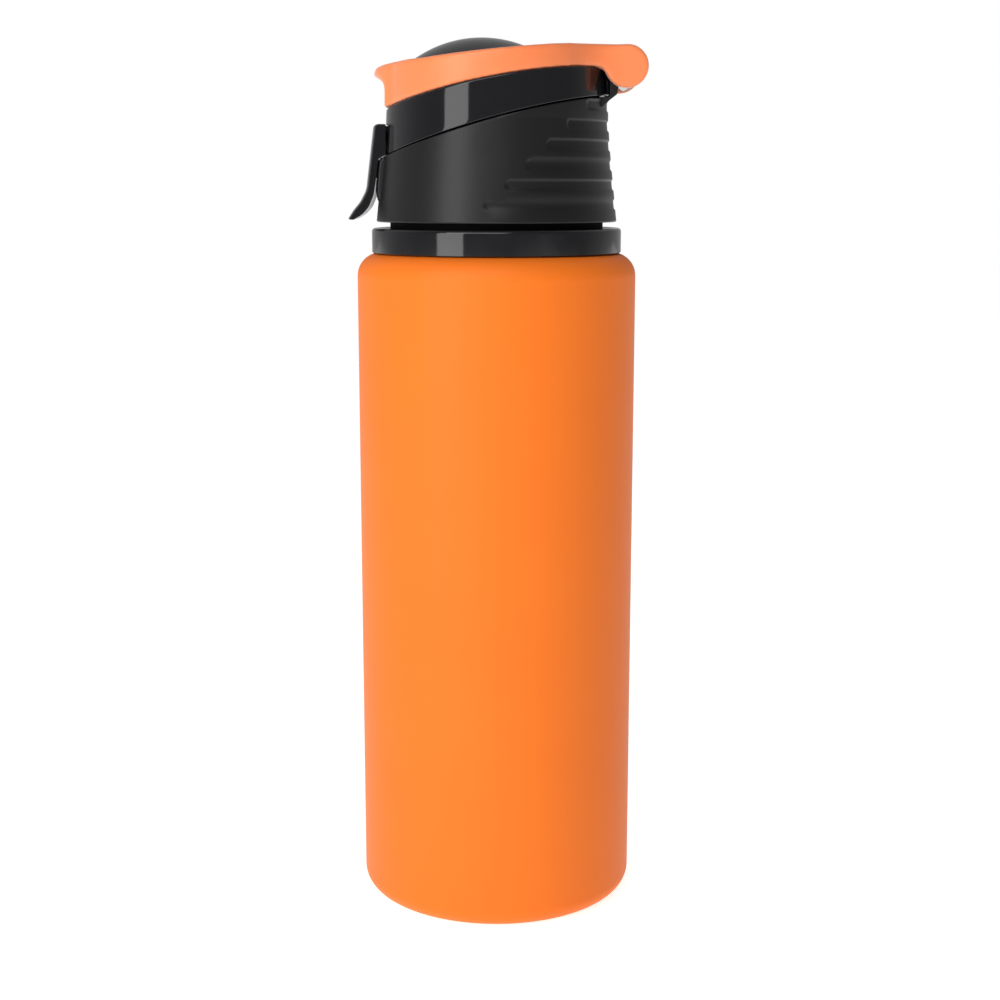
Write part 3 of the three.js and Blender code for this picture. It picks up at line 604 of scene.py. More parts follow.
def calc(tree, operation, *values):
    """One Math node; returns its result."""
    node = tree.nodes.new("ShaderNodeMath")
    node.operation = operation
    for value, socket in zip(values, node.inputs):
        connect(tree, value, socket)
    return node.outputs[0]


def close_tree(tree, geometry, material, output):
    """Every tree ends by making its instances real and giving them their finish."""
    real = step_node(tree, "GeometryNodeRealizeInstances", Geometry=geometry)
    painted = step_node(tree, "GeometryNodeSetMaterial", Geometry=real.outputs[0], Material=material)
    tree.links.new(painted.outputs[0], output)


def grow(piece, tree, values):
    """Runs a tree on a piece and keeps the plain mesh it makes."""
    modifier = piece.modifiers.new("grow", "NODES")
    modifier.node_group = tree
    for item in tree.interface.items_tree:
        if item.in_out == "INPUT" and item.name in values:
            modifier[item.identifier] = float(values[item.name])
    settle(piece)
    return piece


def empty_piece(name):
    piece = bpy.data.objects.new(name, bpy.data.meshes.new(name))
    bpy.context.scene.collection.objects.link(piece)
    return piece


# %% Thread tree
THREAD_PITCH = 4.0
THREAD_DEPTH = 0.8
THREAD_TURNS = 1.5
THREAD_START = 4.6


def thread_tree(name, material):
    tree, given, output = new_tree(name, ["Turns", "Radius", "Rise", "Start", "Depth", "Root", "Crest", "Side"])
    spiral = step_node(tree, "GeometryNodeCurveSpiral", Resolution=96, Rotations=given["Turns"],
                       Start_Radius=given["Radius"], End_Radius=given["Radius"], Height=given["Rise"])
    lift = step_node(tree, "ShaderNodeCombineXYZ", Z=given["Start"])
    placed = step_node(tree, "GeometryNodeSetPosition", Geometry=spiral.outputs[0], Offset=lift.outputs[0])
    upright = step_node(tree, "GeometryNodeSetCurveNormal", {"mode": "Z_UP"}, Curve=placed.outputs[0])
    along = step_node(tree, "GeometryNodeSplineParameter").outputs["Factor"]
    to_end = calc(tree, "MINIMUM", along, calc(tree, "SUBTRACT", 1.0, along))
    thin = calc(tree, "MINIMUM", calc(tree, "MULTIPLY_ADD", to_end, 14.0, 0.35), 1.0)
    section = step_node(tree, "GeometryNodeCurvePrimitiveQuadrilateral", {"mode": "TRAPEZOID"},
                        Height=given["Depth"], Bottom_Width=given["Root"], Top_Width=given["Crest"], Offset=0.0)
    turn = step_node(tree, "ShaderNodeCombineXYZ", Z=given["Side"])
    turned_section = step_node(tree, "GeometryNodeTransform", Geometry=section.outputs[0],
                               Rotation=turn.outputs[0])
    sweep = step_node(tree, "GeometryNodeCurveToMesh", Curve=upright.outputs[0],
                      Profile_Curve=turned_section.outputs[0], Scale=thin, Fill_Caps=True)
    close_tree(tree, sweep.outputs[0], material, output[0])
    return tree


def thread(name, material, wall_radius, start, outward):
    """A thread ridge rooted slightly inside its wall."""
    root = THREAD_DEPTH + 0.2
    middle = wall_radius + (THREAD_DEPTH / 2 - 0.1) * (1 if outward else -1)
    values = {"Turns": THREAD_TURNS, "Radius": middle * MM, "Rise": THREAD_PITCH * THREAD_TURNS * MM,
              "Start": start * MM, "Depth": root * MM, "Root": 1.9 * MM, "Crest": 1.0 * MM,
              "Side": math.pi / 2 * (-1 if outward else 1)}
    piece = grow(empty_piece(name), thread_tree(name, material), values)
    smooth(piece, 30)
    return piece

# %% [markdown]
# ## Collar round the neck
# The gloss collar sits on the shoulder and carries the outside thread. Its rounded top edge catches a thin
# bright line, and its dished top face keeps drops away from the thread, so both are arcs in the outline.

# %% Neck collar
COLLAR_EDGE = 0.9
SLEEVE_WALL = 1.2
STOP_BAND = 1.35
collar_radius = collar_high.x
sleeve_inner = neck_radius + FIT
sleeve_outer = sleeve_inner + SLEEVE_WALL
band_round = sleeve_outer + STOP_BAND
band_foot = collar_top + 1.6
thread_start = collar_top + THREAD_START


def neck_collar():
    edge_x, low = collar_radius - COLLAR_EDGE, shoulder_top + FIT
    outline = [(sleeve_inner, low), (body_radius - SHOULDER_RADIUS, low), (collar_radius - 1.1, low - 0.09),
               (collar_radius - 0.3, low - 0.3), (collar_radius, low - 0.1)]
    outline += arc_points(edge_x, collar_top - COLLAR_EDGE, COLLAR_EDGE, 0, 90, 12)
    outline += [(edge_x - 0.5, collar_top), (edge_x - 1.1, collar_top - 0.16),
                (edge_x - 2.2, collar_top - 0.62), (band_round + 1.0, collar_top - 0.97),
                (band_round, collar_top - 1.0)]
    outline += rounded([(band_round, band_foot - 1), (band_round, band_foot, 0.25),
                        (sleeve_outer, band_foot, 0.2),
                        (sleeve_outer, neck_top - 0.5, 0.3), (sleeve_inner, neck_top - 0.5, 0.3),
                        (sleeve_inner, neck_top - 2)], closed=False)
    piece = turned("collar_ring", outline, GLOSS, steps=256, sharp=35)
    # The band and sleeve faces under the cap (the plain mask) take the near-black matte: painted shade in the gap
    # between cap and collar.
    piece.data.materials.append(GAP_SHADE)
    for face in piece.data.polygons:
        plain = math.hypot(face.center.x, face.center.y) < (band_round + 0.02) * MM
        face.material_index = int(plain and face.center.z > (collar_top - 1.1) * MM)
    return finish_piece(piece, "bottle", "gloss_black", "neck_collar")


neck_collar()
outer_thread = thread("collar_thread", GLOSS, sleeve_outer, thread_start, outward=True)
finish_piece(outer_thread, "bottle", "gloss_black")
print("collar radius", round(collar_radius, 2))
print("thread box", [round(d / MM, 2) for d in outer_thread.dimensions])

# %% Gasket on the bottle's lip
gasket_low, gasket_high = low_high("cap_gasket")


def cap_gasket():
    outer, inner = gasket_high.x, gasket_high.x - 3.5
    outline = rounded([(inner, gasket_low.z, 0.3), (outer, gasket_low.z, 0.3), (outer, gasket_high.z, 0.3),
                       (inner, gasket_high.z, 0.3)])
    piece = turned("gasket_ring", outline, SILICONE, steps=160)
    return finish_piece(piece, "gasket_carrier", "silicone", "cap_gasket")


cap_gasket()

# %% [markdown]
# ## Cap core and turret
# Inside the cap sits a grey cup with the inside thread. A turret stands on its deck, off centre towards the
# front, and holds the spout. Cup and turret are two turned solids, joined by a boolean, because they share no
# axis; the bore and the air hole are then cut through both.

# %% Cap core
SPOUT_X = -6.0
VENT_X = 15.0
VENT_HOLE = 1.5
TURRET_RADIUS = 11.7
TURRET_BORE = 7.7
turret_top = core_high.z
deck_low = gasket_high.z + FIT
deck_high = turret_top - 9.5
core_root = sleeve_outer + THREAD_DEPTH + FIT
core_low_z = core_low.z


def disc(name, radius, low, high, material, x=0.0, edge=0.0, steps=96):
    """An upright round bar with rounded edges."""
    outline = [(0, low)] + rounded([(0, low), (radius, low, edge), (radius, high, edge), (0, high)], False)[1:]
    return turned(name, outline, material, x, steps)


def cap_core():
    outer = [(cap_radius(z) - CAP_WALL - FIT, z) for z in np.linspace(core_low_z, deck_high, 12)]
    seat = gasket_high.x + FIT
    outline = [(0, deck_low), (seat, deck_low), (seat, neck_top + FIT / 2), (core_root, neck_top - FIT),
               (core_root, core_low_z)] + outer + [(0, deck_high)]
    piece = turned("core_cup", outline, PLAIN, steps=192)
    carve(piece, disc("turret", TURRET_RADIUS, deck_high - 0.8, turret_top, PLAIN, SPOUT_X, 0.5, 128), "UNION")
    carve(piece, disc("bore", TURRET_BORE, deck_low - 1, turret_top + 1, PLAIN, SPOUT_X))
    carve(piece, disc("air_hole", VENT_HOLE, deck_low - 1, deck_high + 1, PLAIN, VENT_X, steps=48))
    return finish_piece(piece, "cap", "grey_plastic", "cap_core")


core = cap_core()
inner_thread = thread("core_thread", PLAIN, core_root, thread_start + THREAD_PITCH / 2, outward=False)
finish_piece(inner_thread, "cap", "grey_plastic")
print("core faces", len(core.data.polygons), "turret top", round(turret_top, 2))

# %% [markdown]
# ## Spout, seal ring and air valve
# These are soft silicone pieces and a rubber ring, all turned. The spout's lip is a small bulge, so that a
# mouth seals on it, and every edge is rounded because silicone can't be moulded sharp.

# %% Spout, seal ring and air valve
STEM_RADIUS = 7.0
SPOUT_BORE = 4.5


def spout_piece():
    flange = turret_top + FIT
    top = spout_high.z
    seal_z = turret_top - 4.5
    outline = rounded([
        (SPOUT_BORE, flange - 9, 0.4), (STEM_RADIUS, flange - 9, 0.5), (STEM_RADIUS, seal_z - 1, 0.2),
        (5.7, seal_z - 1, 0.2), (5.7, seal_z + 1, 0.2), (STEM_RADIUS, seal_z + 1, 0.2), (STEM_RADIUS, flange),
        (10, flange, 0.3), (10, flange + 1.5, 0.6), (8, flange + 1.9, 0.8), (7.05, top - 2.4, 1.2),
        (7.3, top - 1.2, 0.7), (7.0, top, 0.9), (SPOUT_BORE, top, 0.7)])
    piece = turned("spout_tube", outline, SILICONE, SPOUT_X, 128)
    return finish_piece(piece, "cap", "silicone", "spout")


def seal_ring():
    outline = arc_points(6.7, turret_top - 4.5, 0.7, 0, 360, 24)[:-1]
    piece = turned("seal_ring", outline, RUBBER, SPOUT_X, 96)
    return finish_piece(piece, "cap", "black_rubber", "spout_seal_ring")


def vent_valve():
    low, high = low_high("vent_valve")
    outline = [(0, low.z)] + rounded([
        (0, low.z), (3.5, low.z + 0.7, 0.3), (3.5, deck_low - FIT, 0.2), (1.2, deck_low - FIT, 0.2),
        (1.2, deck_high + FIT, 0.1), (1.9, deck_high + FIT, 0.3), (1.2, high.z, 0.5), (0, high.z)], False)[1:]
    piece = turned("air_valve", outline, SILICONE, VENT_X, 64)
    return finish_piece(piece, "cap", "silicone", "vent_valve")


for piece in (spout_piece(), seal_ring(), vent_valve()):
    print(piece.name, [round(d / MM, 2) for d in piece.dimensions])

# %% [markdown]
# ## Cap housing
# The satin skirt is the piece that a hand turns, so six grip grooves wrap round its back, each starting a
# little further back than the one below it. Its upper rim slopes with the lid. The skirt is a grid in angle and
# height: rows stay level, so the grooves stay crisp, and each column simply stops where it meets the rim.

# %% Skirt as a grid of columns
SKIN_STEPS = 432
SKIN_ROW = 0.3


def rim_at(x):
    return split_at(x) - SPLIT_GAP


def skirt_grid():
    """Closed skirt wall; the outer skin is marked so that only it takes the grooves."""
    top = rim_at(BAND_RADIUS)
    levels = np.arange(cap_bottom + 0.5, top + 2, SKIN_ROW)
    points, marks = [], []
    for step in range(SKIN_STEPS):
        angle = 2 * math.pi * step / SKIN_STEPS
        flat = Vector((math.cos(angle), math.sin(angle)))
        rim = rim_at(BAND_RADIUS * flat.x)
        foot = cap_bottom
        column = [(cap_radius(foot) - CAP_WALL, foot), (cap_radius(foot) - 0.35, foot),
                  (cap_radius(foot) - 0.1, foot + 0.1), (cap_radius(foot), foot + 0.35)]
        mark = [0, 0, 0, 0]
        for level in levels:
            if level > rim - 0.45:
                level = rim - 0.3
            column.append((cap_radius(level), level))
            mark.append(1)
        column += [(cap_radius(rim) - 0.09, rim - 0.09), (cap_radius(rim) - 0.3, rim),
                   (cap_radius(rim) - CAP_WALL, rim)]
        mark += [0, 0, 0]
        points += [(flat.x * radius, flat.y * radius, z) for radius, z in column]
        marks += mark
    rows = len(column)
    faces = []
    for step in range(SKIN_STEPS):
        here, there = step * rows, (step + 1) % SKIN_STEPS * rows
        faces += [(here + row, there + row, there + (row + 1) % rows, here + (row + 1) % rows)
                  for row in range(rows)]
    mesh = bpy.data.meshes.new("skirt")
    mesh.from_pydata([[value * MM for value in point] for point in points], [], faces)
    mesh.attributes.new("skin", "FLOAT", "POINT").data.foreach_set("value", marks)
    return mesh


# %% [markdown]
# ### Grip grooves, made by Geometry Nodes
# A groove that repeats is a rule, so a tree makes all six. For each point of the skin it finds the nearest
# groove by rounding its height to the pitch, measures how far the point lies inside that groove's long rounded
# outline, and moves it inwards by the depth, with a soft wall. A new count or pitch needs no remodelling.

# %% Groove tree
FIRST_GROOVE = 2.9           # the lowest groove's lower edge, above the cap's lower edge
GROOVE_HEIGHT = 3.0
GROOVES = {"Count": 6, "Height": GROOVE_HEIGHT * MM, "Pitch": 4.95 * MM, "Depth": 0.36 * MM,
           "First": (cap_bottom + FIRST_GROOVE + GROOVE_HEIGHT / 2) * MM, "Front": -3.2 * MM,
           "Step": 5.1 * MM, "Wall": 0.6 * MM}


def groove_tree(material):
    tree, given, output = new_tree("grip_grooves", list(GROOVES))
    position = step_node(tree, "GeometryNodeInputPosition")
    place = step_node(tree, "ShaderNodeSeparateXYZ", Vector=position.outputs[0])
    x, y, z = place.outputs
    radius = calc(tree, "SQRT", calc(tree, "MULTIPLY_ADD", x, x, calc(tree, "MULTIPLY", y, y)))
    above = calc(tree, "SUBTRACT", z, given["First"])
    nearest = calc(tree, "ROUND", calc(tree, "DIVIDE", above, given["Pitch"]))
    last = calc(tree, "SUBTRACT", given["Count"], 1.0)
    index = calc(tree, "MAXIMUM", 0.0, calc(tree, "MINIMUM", nearest, last))
    off_line = calc(tree, "SUBTRACT", above, calc(tree, "MULTIPLY", index, given["Pitch"]))
    front = calc(tree, "MULTIPLY_ADD", index, given["Step"], given["Front"])
    end_angle = calc(tree, "ARCCOSINE", calc(tree, "DIVIDE", front, radius))
    angle = calc(tree, "ABSOLUTE", calc(tree, "ARCTAN2", y, x))
    half = calc(tree, "MULTIPLY", given["Height"], 0.5)
    past_end = calc(tree, "MULTIPLY_ADD", calc(tree, "SUBTRACT", angle, end_angle), radius, half)
    past_end = calc(tree, "MAXIMUM", past_end, 0.0)
    squares = calc(tree, "MULTIPLY_ADD", past_end, past_end, calc(tree, "MULTIPLY", off_line, off_line))
    inside = calc(tree, "SUBTRACT", half, calc(tree, "SQRT", squares))
    wall = step_node(tree, "ShaderNodeMapRange", {"interpolation_type": "SMOOTHSTEP"}, Value=inside,
                     From_Min=0.0, From_Max=given["Wall"], To_Min=0.0, To_Max=given["Depth"])
    skin = step_node(tree, "GeometryNodeInputNamedAttribute", {"data_type": "FLOAT"}, Name="skin")
    depth = calc(tree, "MULTIPLY", wall.outputs[0], skin.outputs[0])
    shrink = calc(tree, "MULTIPLY", calc(tree, "DIVIDE", depth, radius), -1.0)
    inward = step_node(tree, "ShaderNodeCombineXYZ", X=calc(tree, "MULTIPLY", x, shrink),
                       Y=calc(tree, "MULTIPLY", y, shrink), Z=0.0)
    moved = step_node(tree, "GeometryNodeSetPosition", Geometry=given["Geometry"], Offset=inward.outputs[0])
    close_tree(tree, moved.outputs[0], material, output[0])
    return tree


def clean(piece):
    """Merges points that meet, drops faces with no area and turns all faces outwards."""
    work = bmesh.new()
    work.from_mesh(piece.data)
    bmesh.ops.remove_doubles(work, verts=work.verts, dist=1e-7)
    bmesh.ops.dissolve_degenerate(work, edges=work.edges, dist=1e-8)
    bmesh.ops.recalc_face_normals(work, faces=work.faces)
    work.to_mesh(piece.data)
    work.free()
    smooth(piece)


# %% Housing: skirt, deck, catch window and hinge lugs
HINGE_HALF = 15.0
HANDLE_KNUCKLE = 4.0
DECK_RISE = 10.7             # from the deck's front to its back
DECK_THICKNESS = 1.4
LUG_WIDTH = 3.5
PIN_BORE = 1.8
lug_outer = HINGE_HALF - HANDLE_KNUCKLE - FIT
lug_inner = lug_outer - LUG_WIDTH
lid_knuckle = lug_inner - FIT
hook_tip = cap_radius(cap_bottom + 13) - 1.0
hook_low = cap_bottom + 11.2
hook_high = hook_low + 1.2
hook_rise = (hook_tip + hinge_x) / (hinge_z - hook_high)


def hook_face(x):
    """The hook's sloping upper face, along the arc that the opening lid takes it on."""
    return hook_high + (-hook_tip - x) * hook_rise


def knuckle_outline():
    """Hinge knuckle seen from the side: a round with its lower front cut off by a chord."""
    ring = arc_points(hinge_x, hinge_z, BLACK_KNUCKLE, -90, 216, 60)
    return [(x, z) for x, z in ring if (z - hinge_z + 1.9) * 9.0 > (x - hinge_x + 6.5) * -4.4]


def hinge_lug(low, high, name):
    web = rounded([
        (BAND_RADIUS - 2.6, hinge_z - 10.3, 0.6), (BAND_RADIUS - 1.3, hinge_z - 9.3, 1.0),
        (BAND_RADIUS - 0.4, hinge_z - 8.3, 1.5), (BAND_RADIUS + 1.7, hinge_z - 6.7, 0.8),
        (BAND_RADIUS + 2.0, hinge_z - 4.2), (hinge_x, hinge_z), (hinge_x - KNUCKLE_RADIUS + 1.2, hinge_z),
        (BAND_RADIUS - 0.3, hinge_z - 2.6, 0.4), (BAND_RADIUS - 0.3, hinge_z - 7.4, 0.4),
        (BAND_RADIUS - 2.6, hinge_z - 7.8, 0.4)])
    piece = plate(name, web, low, high, SATIN, 0.3)
    return carve(piece, plate("knuckle", knuckle_outline(), low, high, SATIN, 0.3), "UNION")


def cap_housing():
    piece = bpy.data.objects.new("cap_skirt", skirt_grid())
    bpy.context.scene.collection.objects.link(piece)
    grow(piece, groove_tree(SATIN), GROOVES)
    clean(piece)
    deck_front = rim_at(-BAND_RADIUS)
    slope = DECK_RISE / (2 * BAND_RADIUS)
    ring = []
    for height in (-DECK_THICKNESS, 0.0):
        loop = []
        for step in range(96):
            angle = 2 * math.pi * step / 96
            x, y = (BAND_RADIUS - 0.3) * math.cos(angle), (BAND_RADIUS - 0.3) * math.sin(angle)
            loop.append((x, y, deck_front + height + slope * (x + BAND_RADIUS) - 0.02))
        ring.append(loop)
    carve(piece, lofted("deck", ring, SATIN), "UNION")
    hole_radius = TURRET_RADIUS + FIT
    carve(piece, disc("turret_hole", hole_radius, cap_bottom, split_mid + 20, SATIN, SPOUT_X, steps=128))
    carve(piece, disc("air_hole", VENT_HOLE, deck_high, split_mid + 20, SATIN, VENT_X, steps=48))
    inside = BAND_RADIUS - 0.2
    boss = rounded([(inside, hook_low - 6.6), (cap_radius(hook_low - 6.4), hook_low - 6.4, 2),
                    (BAND_RADIUS + 2.6, hook_low - 3.5, 1.5), (BAND_RADIUS + 2.3, hook_high, 2),
                    (BAND_RADIUS + 1.95, hook_high + 3.0, 0.8), (BAND_RADIUS + 1.1, hook_high + 4.0, 0.5),
                    (inside, hook_high + 4.0)])
    carve(piece, wrapped_plate("catch_boss", boss, -7.2, 7.2, SATIN, 0.5), "UNION")
    front = -BAND_RADIUS - 3
    window = [(front, hook_low - 0.6), (-BAND_RADIUS + 2, hook_low - 0.6), (-BAND_RADIUS + 2, hook_low),
              (-hook_tip + 0.35, hook_face(-hook_tip + 0.35) + 0.65), (front, hook_face(front) + 0.65)]
    carve(piece, plate("window", window, -4.8, 4.8, SATIN, 0.01))
    for low in (lug_inner, -lug_outer):
        carve(piece, hinge_lug(low, low + LUG_WIDTH, "lug"), "UNION")
    carve(piece, rod("bore", PIN_BORE, -lug_outer - 1, lug_outer + 1, hinge_x, hinge_z, SATIN))
    clean(piece)
    return finish_piece(piece, "cap", "satin_black", "cap_housing")


housing = cap_housing()
print("housing faces", len(housing.data.polygons), "box", [round(d / MM, 2) for d in housing.dimensions])

# %% [markdown]
# ## Lid
# The lid is one gloss moulding: a sloped band, a deck that the folded handle rests on, and a dome over the
# spout. On a moulding these flow into each other with small rounds, so the whole skin is one grid of columns,
# each running from the inside of the band, over the deck, up the dome to its pole, and the same 1.6 mm inside.


# %% Lid skin
LID_STEPS = 288
LID_LIP = 0.4                # how far the band reaches down into the parting gap
DOME_STEPS = 14
LID_SLANT = LID_TAPER / 20.0         # taper over the 20 mm height of the band


def lid_column(angle, wall):
    """One column of the lid's skin from the band's foot to the dome's pole, moved in by a wall."""
    flat = Vector((math.cos(angle), math.sin(angle)))
    out_x = BAND_RADIUS * flat.x
    foot = split_at(out_x) - LID_LIP
    top = seat_at(out_x) - FIT / 2 - wall

    def at(z):
        return BAND_RADIUS - wall - LID_SLANT * max(z - foot, 0)

    if wall:
        band = [(at(foot), foot)] + [(at(z), z) for z in np.linspace(foot + 2.5, top - 1, 4)]
        edge = [(at(top) - 0.1, top - 0.3), (at(top) - 0.4, top)]
    else:
        band = rounded([(at(foot) - 1, foot), (at(foot), foot, 0.22), (at(foot), foot + 1)], False, 4)[1:]
        band += [(at(z), z) for z in np.linspace(foot + 2.5, top - 2, 4)]
        edge = rounded([(at(top), top - 1.5), (at(top), top, 0.4), (at(top) - 1.5, top)], False, 6)[1:-1]
    column = [(flat.x * radius, flat.y * radius, z) for radius, z in band + edge]
    plan = dome_plan - wall
    outer = Vector((flat.x * (at(top) - 1.0), flat.y * (at(top) - 1.0)))
    inner = Vector((DOME_X + flat.x * (plan + 0.5), flat.y * (plan + 0.5)))
    for t in (0.0, 0.35, 0.7, 1.0):
        place = outer.lerp(inner, t)
        column.append((place.x, place.y, seat_at(place.x) - FIT / 2 - wall))
    base = seat_at(DOME_X + flat.x * plan) - FIT / 2 - wall
    column.append((DOME_X + flat.x * (plan + 0.15), flat.y * (plan + 0.15), base + 0.15))
    sphere = DOME_SPHERE - wall
    shoulder = dome_centre + math.sqrt(sphere ** 2 - plan ** 2)
    side = rounded([(plan, base + 0.5), (plan, shoulder, 1.4), (plan - 3, shoulder + 2.7)], False, 6)[:-1]
    start = math.degrees(math.acos((plan - 2.4) / sphere))
    arc = arc_points(0, dome_centre, sphere, start, 90, DOME_STEPS)[:-1]
    column += [(DOME_X + flat.x * radius, flat.y * radius, z) for radius, z in side + arc]
    return column + [(DOME_X, 0, dome_centre + sphere)]


def lid_skin():
    points, faces = [], []
    for step in range(LID_STEPS):
        angle = 2 * math.pi * step / LID_STEPS
        points += lid_column(angle, 0) + lid_column(angle, LID_WALL)[::-1]
    rows = len(points) // LID_STEPS
    crown = len(lid_column(0, 0)) - 1
    for step in range(LID_STEPS):
        here, there = step * rows, (step + 1) % LID_STEPS * rows
        for row in range(rows):
            if row != crown:
                after = (row + 1) % rows
                faces.append((here + row, there + row, there + after, here + after))
    return new_object("lid_cover", points, faces, GLOSS)


# %% [markdown]
# ### Cuts and hinge of the lid
# The back of the lid leaves room for the handle's knuckles, so the band is cut along the handle's underside and
# round the hinge. A pocket at the front takes the latch. The arm, the knuckle and the latch lug are plates with
# rounded edges that are joined on.

# %% Lid with its cuts and hinge
LATCH_HALF = 7.5
LATCH_HOLE = 0.99
LUG_HALF = 2.5
LUG_RADIUS = 1.35
HEAD_DROP = 2.4
POCKET_DEPTH = 0.65
CORNER_START = hinge_x - 8.0
CORNER_END = hinge_x - 4.9
lever_top = latch_z + HEAD_DROP


def handle_fillet(gap):
    """Underside of the handle at the back, where it turns down to its knuckles."""
    return [(CORNER_START, seat_at(CORNER_START) - gap), (hinge_x - 5.9 - gap * 0.4, hinge_z - 0.75 - gap),
            (CORNER_END - gap, hinge_z - 2.4 - gap * 0.5)]


def lid_shell():
    piece = lid_skin()
    rear = handle_fillet(FIT) + arc_points(hinge_x, hinge_z, KNUCKLE_RADIUS + FIT, -148, -95, 16)
    rear += [(hinge_x + 9, hinge_z - 6), (hinge_x + 9, hinge_z + 9), (CORNER_START, hinge_z + 9)]
    carve(piece, plate("rear_cut", rear, -34, 34, GLOSS, 0.01))
    for low, high in ((-34, -lid_knuckle - 0.05), (lid_knuckle + 0.05, 34)):
        carve(piece, rod("notch", KNUCKLE_RADIUS + FIT, low, high, hinge_x, hinge_z, GLOSS, 0.01, 96))
    back = BAND_RADIUS - POCKET_DEPTH
    front = BAND_RADIUS + 5
    pocket = [(back, lid_low.z - 1), (front, lid_low.z - 1), (front, lever_top), (back, lever_top)]
    carve(piece, wrapped_plate("pocket", pocket, -LATCH_HALF - FIT, LATCH_HALF + FIT, GLOSS, 0.05))
    arm = [(BAND_RADIUS - 2.2, hinge_z - 6.85), (BAND_RADIUS + 0.7, hinge_z - 6.6),
           (hinge_x - 1.5, hinge_z - 4.1),
           (hinge_x, hinge_z), (hinge_x - 2, hinge_z - 0.9), (BAND_RADIUS - 2.2, hinge_z - 0.9)]
    carve(piece, plate("arm", arm, -lid_knuckle, lid_knuckle, GLOSS, 0.25), "UNION")
    carve(piece, plate("knuckle", knuckle_outline(), -lid_knuckle, lid_knuckle, GLOSS, 0.35), "UNION")
    lug = arc_points(latch_x, latch_z, LUG_RADIUS, 90, 270, 16)
    lug += [(-BAND_RADIUS + 2.2, latch_z - LUG_RADIUS), (-BAND_RADIUS + 2.2, latch_z + LUG_RADIUS)]
    carve(piece, plate("latch_lug", lug, -LUG_HALF, LUG_HALF, GLOSS, 0.15), "UNION")
    carve(piece, rod("bore", PIN_BORE, -lid_knuckle - 1, lid_knuckle + 1, hinge_x, hinge_z, GLOSS))
    carve(piece, rod("hole", LATCH_HOLE, -LUG_HALF - 1, LUG_HALF + 1, latch_x, latch_z, GLOSS))
    clean(piece)
    return finish_piece(piece, "lid", "gloss_black", "lid_shell")


lid = lid_shell()
print("lid faces", len(lid.data.polygons), "box", [round(d / MM, 2) for d in lid.dimensions])

# %% Liner and plug inside the dome
PLUG_HOLE = 2.3
liner_low, liner_high = low_high("lid_liner")
plug_low, plug_high = low_high("spout_plug")


def lid_liner():
    radius = (liner_high.x - liner_low.x) / 2
    piece = disc("liner_plate", radius, liner_low.z, liner_high.z, PLAIN, DOME_X, 0.4, 160)
    carve(piece, disc("hole", PLUG_HOLE, liner_low.z - 1, liner_high.z + 1, PLAIN, SPOUT_X, steps=48))
    return finish_piece(piece, "lid", "grey_plastic", "lid_liner")


def spout_plug():
    disc_low = spout_high.z + FIT
    outline = [(0, plug_low.z)] + rounded([
        (0, plug_low.z), (3.3, plug_low.z, 0.5), (3.9, spout_high.z, 0.3), (3.9, disc_low, 0.15),
        (8.2, disc_low, 0.4), (8.2, disc_low + 1.6, 0.4), (2.0, disc_low + 1.6, 0.2),
        (2.0, liner_high.z + FIT, 0.1),
        (3.3, liner_high.z + FIT, 0.3), (2.3, plug_high.z, 0.5), (0, plug_high.z)], False)[1:]
    piece = turned("spout_stopper", outline, SILICONE, SPOUT_X, 96)
    return finish_piece(piece, "lid", "silicone", "spout_plug")


for piece in (lid_liner(), spout_plug()):
    print(piece.name, [round(d / MM, 2) for d in piece.dimensions])

# %% [markdown]
# ## Latch lever
# The lever hangs on a pin in the lid and hooks under the cap's front wall. Seen from above it is curved like
# the cap, so its outline is led round the axis instead of straight across: each point keeps its own radius. The
# flared foot with a rounded tip is what a thumb pulls.


# %% Latch lever
def latch_lever():
    face = BAND_RADIUS + FIT
    profile = rounded([
        (BAND_RADIUS + 2.95, lever_top, 1.1), (BAND_RADIUS + 4.05, latch_z - 6.3, 9),
        (BAND_RADIUS + 5.05, latch_z - 14.2, 7), (BAND_RADIUS + 6.65, latch_z - 17.2, 6),
        (BAND_RADIUS + 8.4, latch_z - 19.3, 6), (BAND_RADIUS + 10.0, latch_z - 21.75, 0.7),
        (BAND_RADIUS + 8.6, latch_z - 21.75, 0.7), (BAND_RADIUS + 6.5, latch_z - 20.5, 5),
        (BAND_RADIUS + 4.8, latch_z - 18.6, 5), (BAND_RADIUS + 3.5, latch_z - 15.4, 7),
        (BAND_RADIUS + 2.9, latch_z - 11.3, 7), (BAND_RADIUS + 2.3, latch_z - 6.5, 0.8),
        (face, latch_z - 5.2, 0.6), (face, lever_top, 0.4)], steps=6)
    piece = wrapped_plate("latch_handle", profile, -LATCH_HALF, LATCH_HALF, GLOSS, 0.25)
    root = -BAND_RADIUS - 2.4
    hook = [(root, hook_low), (-hook_tip, hook_low), (-hook_tip, hook_high), (root, hook_face(root))]
    carve(piece, plate("hook", hook, -4.5, 4.5, GLOSS, 0.2), "UNION")
    slot = LUG_HALF + FIT
    spring_end = slot + 2.8 + FIT
    carve(piece, rod("slot", LUG_RADIUS + FIT, -slot, spring_end, latch_x, latch_z, GLOSS, 0.01))
    opening = [(latch_x + 0.2, latch_z - LUG_RADIUS - FIT), (latch_x + 3, latch_z - LUG_RADIUS - FIT),
               (latch_x + 3, lever_top + 1), (latch_x + 0.2, lever_top + 1)]
    carve(piece, plate("opening", opening, -slot, spring_end, GLOSS, 0.01))
    carve(piece, rod("pin_hole", LATCH_HOLE, -6.7, 6.7, latch_x, latch_z, GLOSS, 0.01))
    clean(piece)
    return finish_piece(piece, "latch", "gloss_black", "latch_lever")


lever = latch_lever()
print("lever faces", len(lever.data.polygons), "box", [round(d / MM, 2) for d in lever.dimensions])

